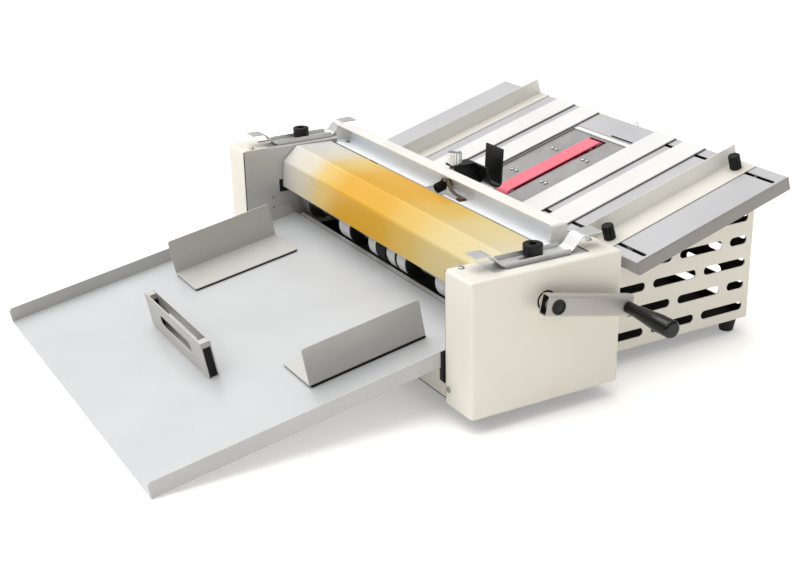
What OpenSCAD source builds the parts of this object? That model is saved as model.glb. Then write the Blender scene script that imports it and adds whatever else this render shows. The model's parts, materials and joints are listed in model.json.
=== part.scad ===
// Hand-cranked desktop machine that creases and perforates paper sheets.
// X runs across the machine, +Y towards the infeed table, +Z up; the desk is z = 0.

/* [Side housings] */
// Clear width between the two side plates
inner_w = 594; // [585:1:620]
// Thickness of a side plate
plate_t = 2; // [1.5:0.25:3]
// Width of a side cover across the machine
cover_w = 59; // [56:1:66]
// Length of a side cover along the paper path
cover_l = 218; // [214:1:226]
// Height of a side cover
cover_h = 175; // [172:1:184]
// Sheet thickness of covers, base walls and table
sheet = 1.5; // [1:0.1:2]
// Outer radius of the bent edges of a side cover
cover_r = 5; // [3:0.5:8]
// Inner edge of the cut-out in a cover's top to its outer end
cut_w = 42; // [40:0.5:46]
// Front end of the cut-out in a cover's top
cut_y0 = 42; // [38:1:48]
// Rear end of the cut-out in a cover's top
cut_y1 = 180; // [178:1:190]
// Radius of the cover screws' shanks
screw_r = 2; // [1.5:0.25:2.5]

/* [Base] */
// Height of the rubber feet
foot_h = 22; // [16:1:26]
// Radius of a foot where it meets the base
foot_r = 14; // [11:0.5:16]
// Space between a base wall and its side plate
wall_gap = 7; // [5:0.5:10]
// Front face of the base
base_y0 = 6; // [4:1:10]
// Distance of the base's rear face in front of the table's rear edge
rear_set = 11.8; // [8:0.2:20]
// Height of the base walls under the shafts
low_wall_h = 42; // [36:1:44]
// Length of an air slot
slot_l = 73; // [60:1:78]
// Height of an air slot
slot_h = 12; // [8:0.5:16]
// Spacing of the air slots along a row
slot_pitch = 86.7; // [82:0.5:95]
// Spacing of the rows of air slots
row_pitch = 32.4; // [28:0.5:34]
// Number of rows of air slots
rows = 5; // [3:1:5]

/* [Tool shafts] */
// Distance of the upper shaft behind the covers' front faces
shaft_y = 105.2; // [104:0.2:109]
// Height of the upper shaft over the covers' lower edges
shaft_up = 132.6; // [129:0.2:134]
// Radius of the tool shafts' journals
shaft_r = 8; // [6:0.25:9]
// Radius of the tool shafts between their journals
body_r = 12; // [10.5:0.25:13]
// Tilt of the line through both tool shafts, in degrees
line_tilt = 8.5; // [3:0.5:10]
// Radius of the rubber tyres
tyre_r = 25.1; // [22:0.1:26]
// Gap between facing tyres for the paper
nip = 0.6; // [0.4:0.1:1]
// Radius of the white collars
collar_r = 24.2; // [18:0.2:24.8]
// Radius of the steel wheels
wheel_r = 23.5; // [18:0.5:24.5]
// Outer radius of the bearing bushes
bush_r = 12; // [11:0.25:14]
// Number of teeth on each tool gear
teeth = 20; // [18:1:24]
// Face width of the tool gears
gear_w = 12; // [8:0.5:14]

/* [Crank] */
// Distance between the crank's pivot and its grip
crank_l = 106; // [90:1:112]
// Droop of the crank arm below level at rest, in degrees
crank_rest = 12.3; // [0:0.1:20]
// Height of the crank arm's tube
arm_h = 27; // [25:0.5:32]
// Depth of the crank arm's tube
arm_d = 15; // [12:0.5:18]
// Gap between the side cover and the crank arm
arm_gap = 10; // [6:0.5:14]
// Length of the grip
grip_l = 82; // [65:1:95]
// Largest radius of the grip
grip_r = 11.5; // [10:0.25:13]
// Radius of the pin inside the grip
pin_r = 4; // [3:0.25:5]

/* [Infeed table] */
// Slope of the table in degrees
table_tilt = 16; // [14:0.25:17]
// Front edge of the table behind the covers' front faces
table_y = 259.5; // [258:0.5:264]
// Width of the table
table_w = 670; // [640:2:690]
// Length of the table along its slope
table_l = 258.3; // [256:0.5:264]
// Depth of the table's down-turned edges
table_edge = 19; // [15:0.5:22]
// Height of the table's plane over the desk, where the plate in front of the table ends
path_z = 128.9; // [126:0.1:131]
// Distance of that plate's front end behind the covers' front faces
path_end = 138; // [134:0.5:142]
// Width of the cross slots in the table
table_slot = 6; // [5.5:0.25:7]
// Inner end of the cross slots
table_slot_x0 = 100; // [80:1:130]
// Outer end of the cross slots
table_slot_x1 = 330; // [322:1:330]
// Half width of the recess around the feed belt
recess_x = 67; // [50:1:67]
// Depth of the recess
recess_d = 3; // [2:0.25:3.5]
// Width of the feed belt
belt_w = 30; // [24:1:31]
// Thickness of the feed belt
belt_t = 2; // [1.5:0.1:2.3]
// Radius of the feed rollers
roller_r = 9; // [8:0.25:9.5]
// Width of a glide strip
strip_w = 44; // [30:1:44]
// Height of a glide strip
strip_h = 3.5; // [2:0.25:4.5]
// Height of both fences
fence_h = 25; // [18:1:32]
// Position of the near fence's wall
fence_x = 240; // [238:1:250]
// Width of the near fence's foot
fence_foot = 37; // [30:1:40]
// Position of the far fence's wall
far_fence_x = 230; // [225:1:260]

/* [Output tray] */
// Length of the tray along its slope
tray_l = 470; // [440:1:500]
// Height of the tray's inner end over the desk
tray_in_z = 84.3; // [82:0.2:86]
// Distance of the tray's inner end behind the covers' front faces
tray_in_y = 83; // [80:0.5:85]
// Clearance between the tray and each side plate
tray_gap = 1.5; // [1:0.25:3]
// Height of the tray's upturned edges
tray_edge = 21.7; // [16:0.5:26]
// Length of a paper guide along the tray
guide_l = 167; // [120:1:172]
// Width of a paper guide's foot
guide_foot = 79; // [50:1:90]
// Height of a paper guide's wall
guide_h = 53; // [35:1:60]
// Thickness of a magnet sheet
magnet_t = 2.2; // [1:0.1:3]
// Left guide's wall, left of the middle
guide_left_x = 237; // [225:1:245]
// Right guide's wall, right of the middle
guide_right_x = 219; // [215:1:240]
// Width of the back stop
stop_w = 206; // [150:2:240]
// Height of the back stop
stop_h = 51; // [40:1:60]
// Outside depth of the back stop
stop_d = 14; // [10:0.5:18]
// Distance of the back stop from the tray's outer end
stop_t = 154; // [130:1:160]

/* [Hood and crossbar] */
// Thickness of the hood
hood_t = 3; // [2:0.25:3.5]
// Clearance between the hood and each side plate
hood_gap = 1.5; // [1.25:0.25:3]
// Length of the crossbar
bar_l = 582; // [570:1:586]
// Height of the crossbar
bar_h = 30; // [28:0.5:34]
// Depth of the crossbar
bar_d = 25; // [22:0.5:27]
// Front edge of the crossbar behind the covers' front faces
bar_y = 158; // [158:0.5:160]

/* [Latches] */
// Distance of a latch's middle from the side plate
latch_in = 24; // [22:0.25:25]
// Width of a latch bar
latch_w = 28; // [22:0.5:30]
// Thickness of a latch bar
latch_t = 2; // [1.5:0.25:2.5]
// Height of the turned-up latch ends
latch_rise = 20.5; // [14:0.5:24]
// Radius of the latch knobs
knob_r = 12.5; // [10:0.5:14]
// Travel of a latch towards the rear
latch_travel = 16; // [10:0.5:17]

/* [Clearances] */
// Radial clearance of turning fits
run = 0.05; // [0.02:0.01:0.1]
// Gap between pieces that slide on each other
slide = 0.3; // [0.2:0.05:0.5]

/* [Hidden] */
$fn = 64;

cream = [0.93, 0.92, 0.88];
grey = [0.70, 0.70, 0.70];
pale_grey = [0.86, 0.87, 0.87];
steel = [0.62, 0.62, 0.61];
bright = [0.78, 0.79, 0.80];
black = [0.06, 0.06, 0.07];
white = [0.94, 0.94, 0.95];
coral = [0.93, 0.42, 0.47];
amber = [0.93, 0.72, 0.24];

// Side housings
plate_x = inner_w / 2;
cover_x = plate_x + plate_t;
cover_x1 = cover_x + cover_w;
base_z = foot_h;
roof_z = base_z + cover_h;
flange_z = roof_z - sheet;
front_in = sheet;
rear_in = cover_l - sheet;
flange_w = cut_w - 0.5;
// Middle of the cover screws, measured from the side plate's outer face and the cover's ends
screw_in = 7.5;
top_screw_y = 18;
low_screw_z = base_z + 20.5;

// Shafts and paper path
shaft_z = base_z + shaft_up;
drop = 2 * tyre_r + nip;
low_y = shaft_y + drop * sin(line_tilt);
low_z = shaft_z - drop * cos(line_tilt);
bush_lip = 3;
gear_x = cover_x + 13;
shaft_end = cover_x1 - 31;
arm_x0 = cover_x1 + arm_gap;
arm_x1 = arm_x0 + arm_d;
arm_t = 2;
// Middle of the arm's tube over the line from the pivot to the grip, and the tube's two ends
arm_up = 0.8;
arm_ends = [-16, crank_l + 7];
// Middle, width of each tyre, collar and steel wheel along a tool shaft
tyres = [[-117.5, 5], [-25, 28], [19.1, 4.6], [48.7, 5], [164.9, 5]];
collars = [[-137.6, 35.2], [-50.5, 23], [5.6, 22.4], [33.8, 24.8], [144.4, 36]];
wheels = [[-271, 22], [-8.3, 5.4], [271, 22]];
body_x = plate_x - bush_lip - slide;

// Feed belt drive, in the table's own frame: along the slope, below its top
table_z = path_z + (table_y - path_end) * tan(table_tilt);
recess_s = [10, table_l - 46.3];
recess_rim = 6;
roll_n = -(roller_r + belt_t + slide - 1);
roll_s1 = 26;
roll_s2 = recess_s[1] - 25;
belt_ro = roller_r + belt_t + slide;
feed_shaft_r = 4;
low_pulley_r = body_r - 2;
feed_pulley_r = 6.5;
pulley_x = 188;
drive_w = 8;
groove_w = drive_w + 2;
drive_t = 1.5;
drive_add = slide + drive_t;
feed_y = table_y + roll_s1 * cos(table_tilt) - roll_n * sin(table_tilt);
feed_z = table_z + roll_s1 * sin(table_tilt) + roll_n * cos(table_tilt);
drive_a = atan2(feed_z - low_z, feed_y - low_y);
drive_c = norm([feed_y - low_y, feed_z - low_z]);

// Base
wall_x = plate_x - wall_gap;
wall_y0 = table_y - 24.5;
base_y1 = table_y + table_l * cos(table_tilt) - rear_set;
low_wall_z = base_z + low_wall_h;
tie_y = bar_y + 38;
tie_z = low_wall_z + 20;
tie_r = 6;
vent_y0 = 240;
vent_y1 = base_y1 - 10.5;
first_row = 19.5;
bolt_ys = [30, 190];
bolt_z = base_z + 22;

// Crossbar
bar_z1 = roof_z + 23;
bar_z0 = bar_z1 - bar_h;
lug_l = 27;
bar_r = 5;
// Cut-out of the channel's lower flange around the lock knob
notch_x = [-8, 78];
lock_x = 14;
lock_z = bar_z0 + 10;
lock_tilt = 16;
// Gate: its top plate and its tall plate along the machine, its thickness and its screw
gate_top = [-2, 22];
gate_tall = [7, 49];
gate_t = 3;
gate_x = 13;
gate_y = bar_y + bar_d + 7;
gate_z = bar_z1 + 0.5;
// Tab behind the channel that carries the gate: along the machine, its depth and its drop below the top
tab_x = [0, 19];
gate_tab = 20;
tab_drop = 4;
gate_pin_x = 3;
gate_pin_r = 1.5;
gate_stud_r = 3;
// Bent line of the gate, from the channel's top rear edge: top plate, slope, trough and tall plate
gate_line = [[1, 0], [38, 0], [46, -28.5], [52, -33.5], [60, -28.5], [63, 21.5]];
cheek_h = 19.5;
cheek_t = 2;

// Hood: outside corners from the front lip to the rear edge
hood_pts = [[62.3, 132.7], [65.6, 173.4], [89.8, 194.6], [149.7, 192.4]];
hood_half = plate_x - hood_gap;
hinge_y = 143;
hinge_z = 183;
hinge_r = 3;
lug_t = 3;

// Table
fence_knob_x = fence_x + 18;
fence_stud_r = 2.4;
fence_stud_l = 5;
far_fence_s0 = -26;
slot_s = [18, table_l - 21.3];
glide_x = [recess_x + 2 + strip_w / 2, recess_x + 2 + strip_w * 1.5 + 19];
// Screw eye: radius of its ring, and the ring's middle past and below the table's rear edge
eye_r = 4;
eye_s = 8;
eye_n = -8;
guide_s0 = (path_end - table_y) / cos(table_tilt);
guide_wide = 60;
// Open seam between neighbouring down-turned edges
seam_w = 0.8;

// Tray
tray_tilt = asin(tray_in_z / tray_l);
tray_y0 = tray_in_y - tray_l * cos(tray_tilt);
tray_half = plate_x - tray_gap;
guide_t0 = 239;
guide_corner = 4;
stop_x = -6;
stop_block = 12;

// Latches
latch_x = plate_x + latch_in;
latch_y = 110;
latch_z = flange_z + slide;
latch_top = latch_z + latch_t;
latch_flat = [61, 159];
latch_ends = [21.5, 204];
latch_ramp = [17.5, 16];
stud_r = 4;

// Whole machine, shifted so that the middle of its outline stands on the origin
shift_x = -(arm_x1 + 2 + grip_l - cover_x1) / 2;
shift_y = -(tray_y0 + table_y + (table_l + eye_s) * cos(table_tilt) - eye_n * sin(table_tilt)
  + eye_r + 1.3) / 2;

module place() translate([shift_x, shift_y, 0]) children();
module at_table() translate([0, table_y, table_z]) rotate([table_tilt, 0, 0]) children();
module at_tray() translate([0, tray_y0, 0]) rotate([tray_tilt, 0, 0]) children();
module at_crank() translate([0, shaft_y, shaft_z]) rotate([-crank_rest, 0, 0]) children();
module side(s) scale([s, 1, 1]) children();
module box(x0, x1, y0, y1, z0, z1)
  translate([x0, y0, z0]) cube([x1 - x0, y1 - y0, z1 - z0]);
// Cylinder along X from x0 to x1 through a point of the YZ plane
module rod_x(x0, x1, y, z, r) translate([x0, y, z]) rotate([0, 90, 0]) cylinder(h = x1 - x0, r = r);
// YZ outline pushed along X from x0 to x1
module along_x(x0, x1)
  translate([x0, 0, 0]) rotate([90, 0, 90]) linear_extrude(height = x1 - x0) children();
// Rectangle with four true round corners
module round_rect(x0, x1, y0, y1, r) {
  translate([x0 + r, y0]) square([x1 - x0 - 2 * r, y1 - y0]);
  translate([x0, y0 + r]) square([x1 - x0, y1 - y0 - 2 * r]);
  for (x = [x0 + r, x1 - r], y = [y0 + r, y1 - r]) translate([x, y]) circle(r = r);
}
// Slot with round ends
module slot2d(x0, x1, y, h) {
  translate([x0 + h / 2, y - h / 2]) square([x1 - x0 - h, h]);
  for (x = [x0 + h / 2, x1 - h / 2]) translate([x, y]) circle(d = h);
}
// Band of thickness t on the right-hand side of a line of points, with mitred corners
function unit(v) = v / norm(v);
function turn(v) = [v[1], -v[0]];
function off_pt(p, i, t) =
  let (n = len(p) - 1,
       a = i > 0 ? turn(unit(p[i] - p[i - 1])) : turn(unit(p[1] - p[0])),
       b = i < n ? turn(unit(p[i + 1] - p[i])) : turn(unit(p[n] - p[n - 1])),
       m = unit(a + b))
  p[i] + m * t / (m * a);
module band(p, t)
  polygon(concat(p, [for (i = [len(p) - 1 : -1 : 0]) off_pt(p, i, t)]));

// ---------- chassis ----------
module foot_spots() for (x = [-1, 1], y = [base_y0 + 34, base_y1 - 18])
  translate([x * (wall_x - 19), y, 0]) children();

module floor_plate() place() color(cream)
  box(-wall_x + sheet, wall_x - sheet, base_y0, base_y1, base_z, base_z + sheet);

module rubber_feet() place() color(black)
  foot_spots() cylinder(h = foot_h, r1 = foot_r * 0.68, r2 = foot_r);

// Underside of the table's sheet at a given distance from the front
function under_table(y) = table_z - sheet / cos(table_tilt) + (y - table_y) * tan(table_tilt);

// Air slots: rows staggered by half a pitch and cut off at both ends of the vented length
module vents(y0, y1, z_top)
  for (r = [0 : rows - 1], k = [0 : ceil((y1 - y0) / slot_pitch)])
    let (z = base_z + first_row + r * row_pitch,
         right = y1 + (r % 2) * slot_pitch / 2 - k * slot_pitch,
         a = max(right - slot_l, y0, z_top ? y0 : wall_limit(z)), b = min(right, y1))
      if (b - a > slot_h * 1.5) slot2d(a, b, z, slot_h);
// First place where the sloped wall is high enough for a slot at height z
function wall_limit(z) =
  table_y + (z + slot_h / 2 + 8 - table_z) / tan(table_tilt) + 6;

module base_side(s) side(s) along_x(wall_x - sheet, wall_x) difference() {
  t2 = [table_y + 2.2 * cos(table_tilt), 0];
  edge_y = t2[0] + (table_edge + 1) * sin(table_tilt);
  edge_z = under_table(edge_y) - (table_edge + 1) / cos(table_tilt);
  polygon([[base_y0, base_z], [base_y1, base_z], [base_y1, under_table(base_y1)],
    [t2[0], under_table(t2[0])], [edge_y, edge_z], [wall_y0, edge_z],
    [wall_y0, low_wall_z], [base_y0, low_wall_z]]);
  vents(vent_y0, vent_y1, false);
  for (y = bolt_ys) translate([y, bolt_z]) circle(r = 3);
  if (s > 0) translate([feed_y, feed_z]) circle(r = feed_shaft_r + run);
  translate([table_y, table_z]) rotate(table_tilt) for (n = slot_s)
    translate([n - table_slot / 2 - 0.5, -fence_stud_l - 1.5]) square([table_slot + 1, fence_stud_l + 1.5]);
}
module base_side_left() place() color(cream) base_side(-1);
module base_side_right() place() color(cream) base_side(1);

module base_rear() place() color(cream) difference() {
  y0 = base_y1 - sheet;
  box(-wall_x + sheet, wall_x - sheet, y0, base_y1, base_z + sheet, under_table(y0));
  translate([0, base_y1 + 1, 0]) rotate([90, 0, 0]) linear_extrude(height = sheet + 2)
    for (m = [0, 1]) mirror([m, 0]) vents(30, wall_x - 12, true);
}
module base_front() place() color(cream)
  box(-wall_x + sheet, wall_x - sheet, base_y0, base_y0 + sheet, base_z + sheet, low_wall_z);

// Top, front and rear screws that hold a side cover on its side plate
module cover_screw_spots() {
  x = cover_x + screw_in;
  for (y = [top_screw_y, cover_l - top_screw_y + 4]) translate([x, y, roof_z]) children();
  translate([x, 0, low_screw_z]) rotate([90, 0, 0]) children();
  translate([x, cover_l, low_screw_z]) rotate([-90, 0, 0]) children();
}
module bar_screw_spots() translate([bar_l / 2 - 14, bar_y + bar_d / 2, bar_z0 + sheet]) children();

module side_frame(s) side(s) difference() {
  union() {
    intersection() {
      union() {
        box(plate_x, cover_x, front_in, rear_in, base_z + 1, flange_z);
        box(plate_x, cover_x + flange_w, front_in, rear_in, flange_z - plate_t, flange_z);
      }
      along_x(plate_x - 1, cover_x1) round_rect(front_in, rear_in, base_z - 19, flange_z, cover_r - sheet);
    }
    for (y = [front_in, rear_in - plate_t])
      box(plate_x, cover_x + 20, y, y + plate_t, low_screw_z - 10, low_screw_z + 14);
    box(plate_x - lug_l, plate_x, bar_y + 3, bar_y + bar_d - 3, bar_z0 - 10, bar_z0);
    rod_x(plate_x - hood_gap - 5, plate_x, hinge_y, hinge_z, hinge_r);
  }
  for (p = [[shaft_y, shaft_z], [low_y, low_z]]) rod_x(plate_x - 9, cover_x + 9, p[0], p[1], bush_r);
  for (y = bolt_ys) rod_x(plate_x - 9, cover_x + 9, y, bolt_z, 3);
  for (z = [99.7, 116]) rod_x(plate_x - 9, cover_x + 9, 46, z + base_z - 22, 1.5);
  cover_screw_spots() translate([0, 0, -9]) cylinder(h = 12, r = screw_r);
  translate([latch_x, latch_y, flange_z - 9]) cylinder(h = 12, r = stud_r + run);
  bar_screw_spots() translate([0, 0, -9]) cylinder(h = 12, r = screw_r);
}
module side_frame_left() place() color(steel) side_frame(-1);
module side_frame_right() place() color(steel) side_frame(1);

// Block with rounded front, rear and outer edges; a margin m makes the space inside the sheet
module cover_block(m) {
  r = cover_r - m;
  x0 = cover_x - 3 * cover_r;
  z0 = base_z - 3 * cover_r;
  intersection() {
    along_x(cover_x - m, cover_x1 - m) round_rect(m, cover_l - m, z0, roof_z - m, r);
    translate([0, cover_l, 0]) rotate([90, 0, 0]) linear_extrude(height = cover_l)
      round_rect(x0, cover_x1 - m, z0, roof_z - m, r);
    translate([0, 0, base_z - m]) linear_extrude(height = cover_h)
      round_rect(x0, cover_x1 - m, m, cover_l - m, r);
  }
}
module side_cover(s) side(s) difference() {
  cover_block(0);
  cover_block(sheet);
  box(cover_x - 1, cover_x + cut_w, cut_y0, cut_y1, roof_z - 2 * sheet, roof_z + 1);
  cover_screw_spots() translate([0, 0, -9]) cylinder(h = 12, r = screw_r);
  if (s > 0) rod_x(cover_x1 - 9, cover_x1 + 9, shaft_y, shaft_z, 13);
}
module side_cover_left() place() color(cream) side_cover(-1);
module side_cover_right() place() color(cream) side_cover(1);

// Low domed screw head with its shank, seated on z = 0
module pan_screw(r, l) {
  translate([0, 0, -l]) cylinder(h = l, r = r);
  cylinder(h = 1.2, r = 2 * r);
  intersection() {
    translate([0, 0, 2.6 - 4 * r]) sphere(r = 4 * r);
    cylinder(h = 5, r = 2 * r);
  }
}
module pan_screws() place() color(bright) for (s = [-1, 1]) side(s) {
  cover_screw_spots() pan_screw(screw_r, sheet + plate_t + 2);
  bar_screw_spots() pan_screw(screw_r, sheet + 7);
}

// Shoulder bolts: head inside the base wall, shoulder in the gap, nut outside the side plate
module frame_bolts() place() color(bright) for (s = [-1, 1], y = bolt_ys) side(s) {
  rod_x(wall_x - sheet - 4, wall_x - sheet, y, bolt_z, 6);
  rod_x(wall_x - sheet, cover_x + 4, y, bolt_z, 3);
  rod_x(wall_x, plate_x, y, bolt_z, 7);
  translate([cover_x, y, bolt_z]) rotate([0, 90, 0]) cylinder(h = 4, r = 6, $fn = 6);
}
module tie_rod() place() color(bright) rod_x(-plate_x, plate_x, tie_y, tie_z, tie_r);

// Channel open to the front, closed by a cheek at each end, with the gate's tab at the rear
module crossbar() place() color(cream) {
  h = bar_l / 2;
  y1 = bar_y + bar_d;
  difference() {
    intersection() {
      along_x(-h, h) round_rect(bar_y - 9, y1, bar_z0, bar_z1, bar_r);
      translate([0, y1, 0]) rotate([90, 0, 0]) linear_extrude(height = bar_d)
        round_rect(-h, h, bar_z0, bar_z1, bar_r);
    }
    along_x(-h + sheet, h - sheet)
      round_rect(bar_y - 9, y1 - sheet, bar_z0 + sheet, bar_z1 - sheet, bar_r - sheet);
    box(notch_x[0], notch_x[1], bar_y - 1, y1 - sheet, bar_z0 - 1, bar_z0 + sheet + 1);
    side(1) bar_screw_spots() translate([0, 0, -5]) cylinder(h = 6, r = screw_r);
    side(-1) bar_screw_spots() translate([0, 0, -5]) cylinder(h = 6, r = screw_r);
    at_lock() translate([0, 0, -6]) cylinder(h = 12, r = 3 + run);
  }
  difference() {
    box(tab_x[0], tab_x[1], y1 - sheet, y1 + gate_tab, bar_z1 - tab_drop - sheet, bar_z1 - tab_drop);
    gate_holes(run);
  }
}
// Stud hole and two guide pins of the feed gate
module gate_holes(c) {
  translate([gate_x, gate_y, bar_z1 - 12]) cylinder(h = 12, r = gate_stud_r + c);
  translate([gate_pin_x, gate_y, bar_z1 - 12]) cylinder(h = 12, r = gate_pin_r + c);
}
module at_lock() translate([lock_x, bar_y + bar_d - sheet, lock_z]) rotate([90 + lock_tilt, 0, 0]) children();

// ---------- infeed table ----------
module infeed_table() place() color(grey) at_table() difference() {
  h = table_w / 2;
  box(-h, h, 0, table_l, -table_edge, 0);
  box(-h + sheet, h - sheet, sheet, table_l - sheet, -table_edge - 1, -sheet);
  box(-recess_x, recess_x, recess_s[0], recess_s[1], -recess_d - sheet, 1);
  translate([0, 0, -3]) linear_extrude(height = 4)
    for (s = slot_s) slot2d(table_slot_x0, table_slot_x1, s, table_slot);
  box(pulley_x - 8, pulley_x + 8, -1, sheet + 1, -table_edge - 1, -sheet);
  for (m = [-1, 1], s = [-1, table_l - sheet]) translate([m * (h - sheet - seam_w / 2), 0, 0])
    box(-seam_w / 2, seam_w / 2, s, s + sheet + 1, -table_edge - 1, -4);
}
module recess_pan() place() color(steel) at_table() difference() {
  box(-recess_x - 8, recess_x + 8, recess_s[0] - recess_rim, recess_s[1] + recess_rim,
    -recess_d - sheet, -sheet);
  box(-recess_x, recess_x, recess_s[0], recess_s[1], -recess_d, 1);
  box(-belt_w / 2 - 2, belt_w / 2 + 2, roll_s1 - belt_ro - 2, roll_s2 - 47, -9, 1);
  box(-belt_w / 2 - 4, belt_w / 2 + 4, roll_s2 - 48, roll_s2 + belt_ro + 2, -9, 1);
  pan_spots() translate([0, 0, -5]) cylinder(h = 6, r = 1.5);
}
module pan_spots() for (x = [-44, -34, 32, 42], s = [recess_s[0] + 59, recess_s[1] - 67])
  translate([x, s, -recess_d]) children();
module plate_screws() place() color(bright) at_table() pan_spots() pan_screw(1.5, sheet);

// Outline of a belt around two circles: radius a at the middle, radius b at distance c along +Y
module run_2d(a, b, c) {
  v = acos((a - b) / c);
  m = 28;
  polygon([for (i = [0 : m]) let (w = v + i * (360 - 2 * v) / m) a * [cos(w), sin(w)],
    for (i = [0 : m]) let (w = -v + i * 2 * v / m) [c + b * cos(w), b * sin(w)]]);
}
module loop_x(x0, x1, a, b, t, c) along_x(x0, x1) difference() {
  run_2d(a, b, c);
  run_2d(a - t, b - t, c);
}
module feed_belt() place() color(coral) at_table() translate([0, roll_s1, roll_n])
  loop_x(-belt_w / 2, belt_w / 2, belt_ro, belt_ro, belt_t, roll_s2 - roll_s1);
module drive_belt() place() color(black)
  translate([0, low_y, low_z]) rotate([drive_a, 0, 0])
    loop_x(pulley_x - drive_w / 2, pulley_x + drive_w / 2, low_pulley_r + drive_add,
      feed_pulley_r + drive_add, drive_t, drive_c);

module roller_brackets() place() color(steel) at_table() for (s = [roll_s1, roll_s2], x = [-1, 1])
  difference() {
    side(x) along_x(belt_w / 2 + 7, belt_w / 2 + 9) union() {
      translate([s - 10, roll_n - 8]) square([20, -recess_d - sheet - roll_n + 8]);
    }
    side(x) rod_x(belt_w / 2, belt_w / 2 + 20, s, roll_n, feed_shaft_r + run);
  }
module feed_roller() place() color(bright) at_table() {
  rod_x(-belt_w / 2 - 1, belt_w / 2 + 1, roll_s1, roll_n, roller_r);
  rod_x(-belt_w / 2 - 12, wall_x + 4, roll_s1, roll_n, feed_shaft_r);
  rod_x(pulley_x - groove_w / 2, pulley_x + groove_w / 2, roll_s1, roll_n, feed_pulley_r);
}
module idler_roller() place() color(bright) at_table() {
  rod_x(-belt_w / 2 - 1, belt_w / 2 + 1, roll_s2, roll_n, roller_r);
  rod_x(-belt_w / 2 - 12, belt_w / 2 + 12, roll_s2, roll_n, feed_shaft_r);
}

module glide_strips() place() color(cream) at_table() for (m = [-1, 1], x = glide_x)
  translate([m * x, 0, 0]) box(-strip_w / 2, strip_w / 2, 6, table_l - 2, 0, strip_h);

module far_fence() place() color(cream) at_table() {
  box(-far_fence_x - sheet, -far_fence_x, far_fence_s0, table_l, 0, fence_h);
  box(-far_fence_x, -far_fence_x + 24, far_fence_s0, table_l, 0, sheet);
}
module fence_spots() for (s = slot_s) translate([fence_knob_x, s, 0]) children();
module side_fence() place() color(cream) at_table() difference() {
  union() {
    box(fence_x - sheet, fence_x, 0, table_l - 2, slide, fence_h);
    box(fence_x - sheet, fence_x + fence_foot, 0, table_l - 2, slide, slide + sheet);
  }
  fence_spots() translate([0, 0, -1]) cylinder(h = 6, r = fence_stud_r + run);
}
// Ribbed clamp knob with its stud, turning about the table's normal
module fence_knob(s) at_table() translate([fence_knob_x, s, 0]) {
  z0 = 2 * slide + sheet;
  translate([0, 0, z0]) cylinder(h = 20, r = 7.2);
  for (a = [0 : 30 : 330]) rotate(a) translate([7.2, 0, z0]) cylinder(h = 19, r = 0.9);
  translate([0, 0, -fence_stud_l]) cylinder(h = z0 + fence_stud_l, r = fence_stud_r);
}
module fence_knob_front() place() color(black) fence_knob(slot_s[0]);
module fence_knob_rear() place() color(black) fence_knob(slot_s[1]);

module infeed_guide() place() color(steel) at_table() {
  box(-plate_x, plate_x, guide_s0, guide_s0 + guide_wide, -sheet, 0);
  box(-wall_x + 25, wall_x - 25, guide_s0 + guide_wide - 1, -1, -sheet, 0);
}
module table_eye() place() color(bright) at_table() translate([6, table_l, eye_n]) {
  rotate([-90, 0, 0]) cylinder(h = eye_s - eye_r, r = 1.5);
  translate([0, eye_s, 0]) rotate([0, 90, 0]) rotate_extrude() translate([eye_r, 0]) circle(r = 1.3);
}

// ---------- output tray ----------
module output_tray() place() color(pale_grey) at_tray() {
  box(-tray_half, tray_half, 0, tray_l, 0, sheet);
  for (s = [-1, 1]) side(s) along_x(tray_half - sheet, tray_half)
    polygon([[0, 0], [tray_l, 0], [tray_l - 7, tray_edge], [4, tray_edge], [0, tray_edge - 4]]);
}
module tray_rail() place() color(steel) at_tray() {
  box(-plate_x, plate_x, tray_l - 18, tray_l + slide + sheet, -sheet, 0);
  box(-plate_x, plate_x, tray_l + slide, tray_l + slide + sheet, -18, sheet);
}
module tray_hooks() place() color(black) for (s = [-1, 1]) side(s) difference() {
  box(wall_x - 12, wall_x - 4, base_y0 - 9, base_y0, base_z + 20, low_wall_z + 30);
  at_tray() box(0, plate_x, -10, tray_l, 0, 60);
}
// Sheet-metal angle: wall on the outer side, foot turned inward, on a magnet sheet
module guide(s, x) at_tray() side(s) {
  n0 = sheet + slide + magnet_t;
  difference() {
    along_x(x - sheet, x)
      round_rect(guide_t0, guide_t0 + guide_l, n0 - guide_h / 2, n0 + guide_h, guide_corner);
    box(0, x + 9, 0, tray_l, n0 - guide_h, n0);
  }
  translate([0, 0, n0]) foot_plate(x, guide_t0, sheet);
}
// Plate from the guide's wall inwards, with its two free corners rounded
module foot_plate(x, t0, t) linear_extrude(height = t) intersection() {
  round_rect(x - guide_foot, x + guide_foot, t0, t0 + guide_l, guide_corner);
  translate([x - guide_foot, t0]) square([guide_foot, guide_l]);
}
module guide_magnet(s, x)
  at_tray() side(s) translate([0, 0, sheet + slide]) foot_plate(x, guide_t0, magnet_t);
module guide_left() place() color(pale_grey) guide(-1, guide_left_x);
module guide_right() place() color(pale_grey) guide(1, guide_right_x);
module guide_magnet_left() place() color(black) guide_magnet(-1, guide_left_x);
module guide_magnet_right() place() color(black) guide_magnet(1, guide_right_x);

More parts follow.
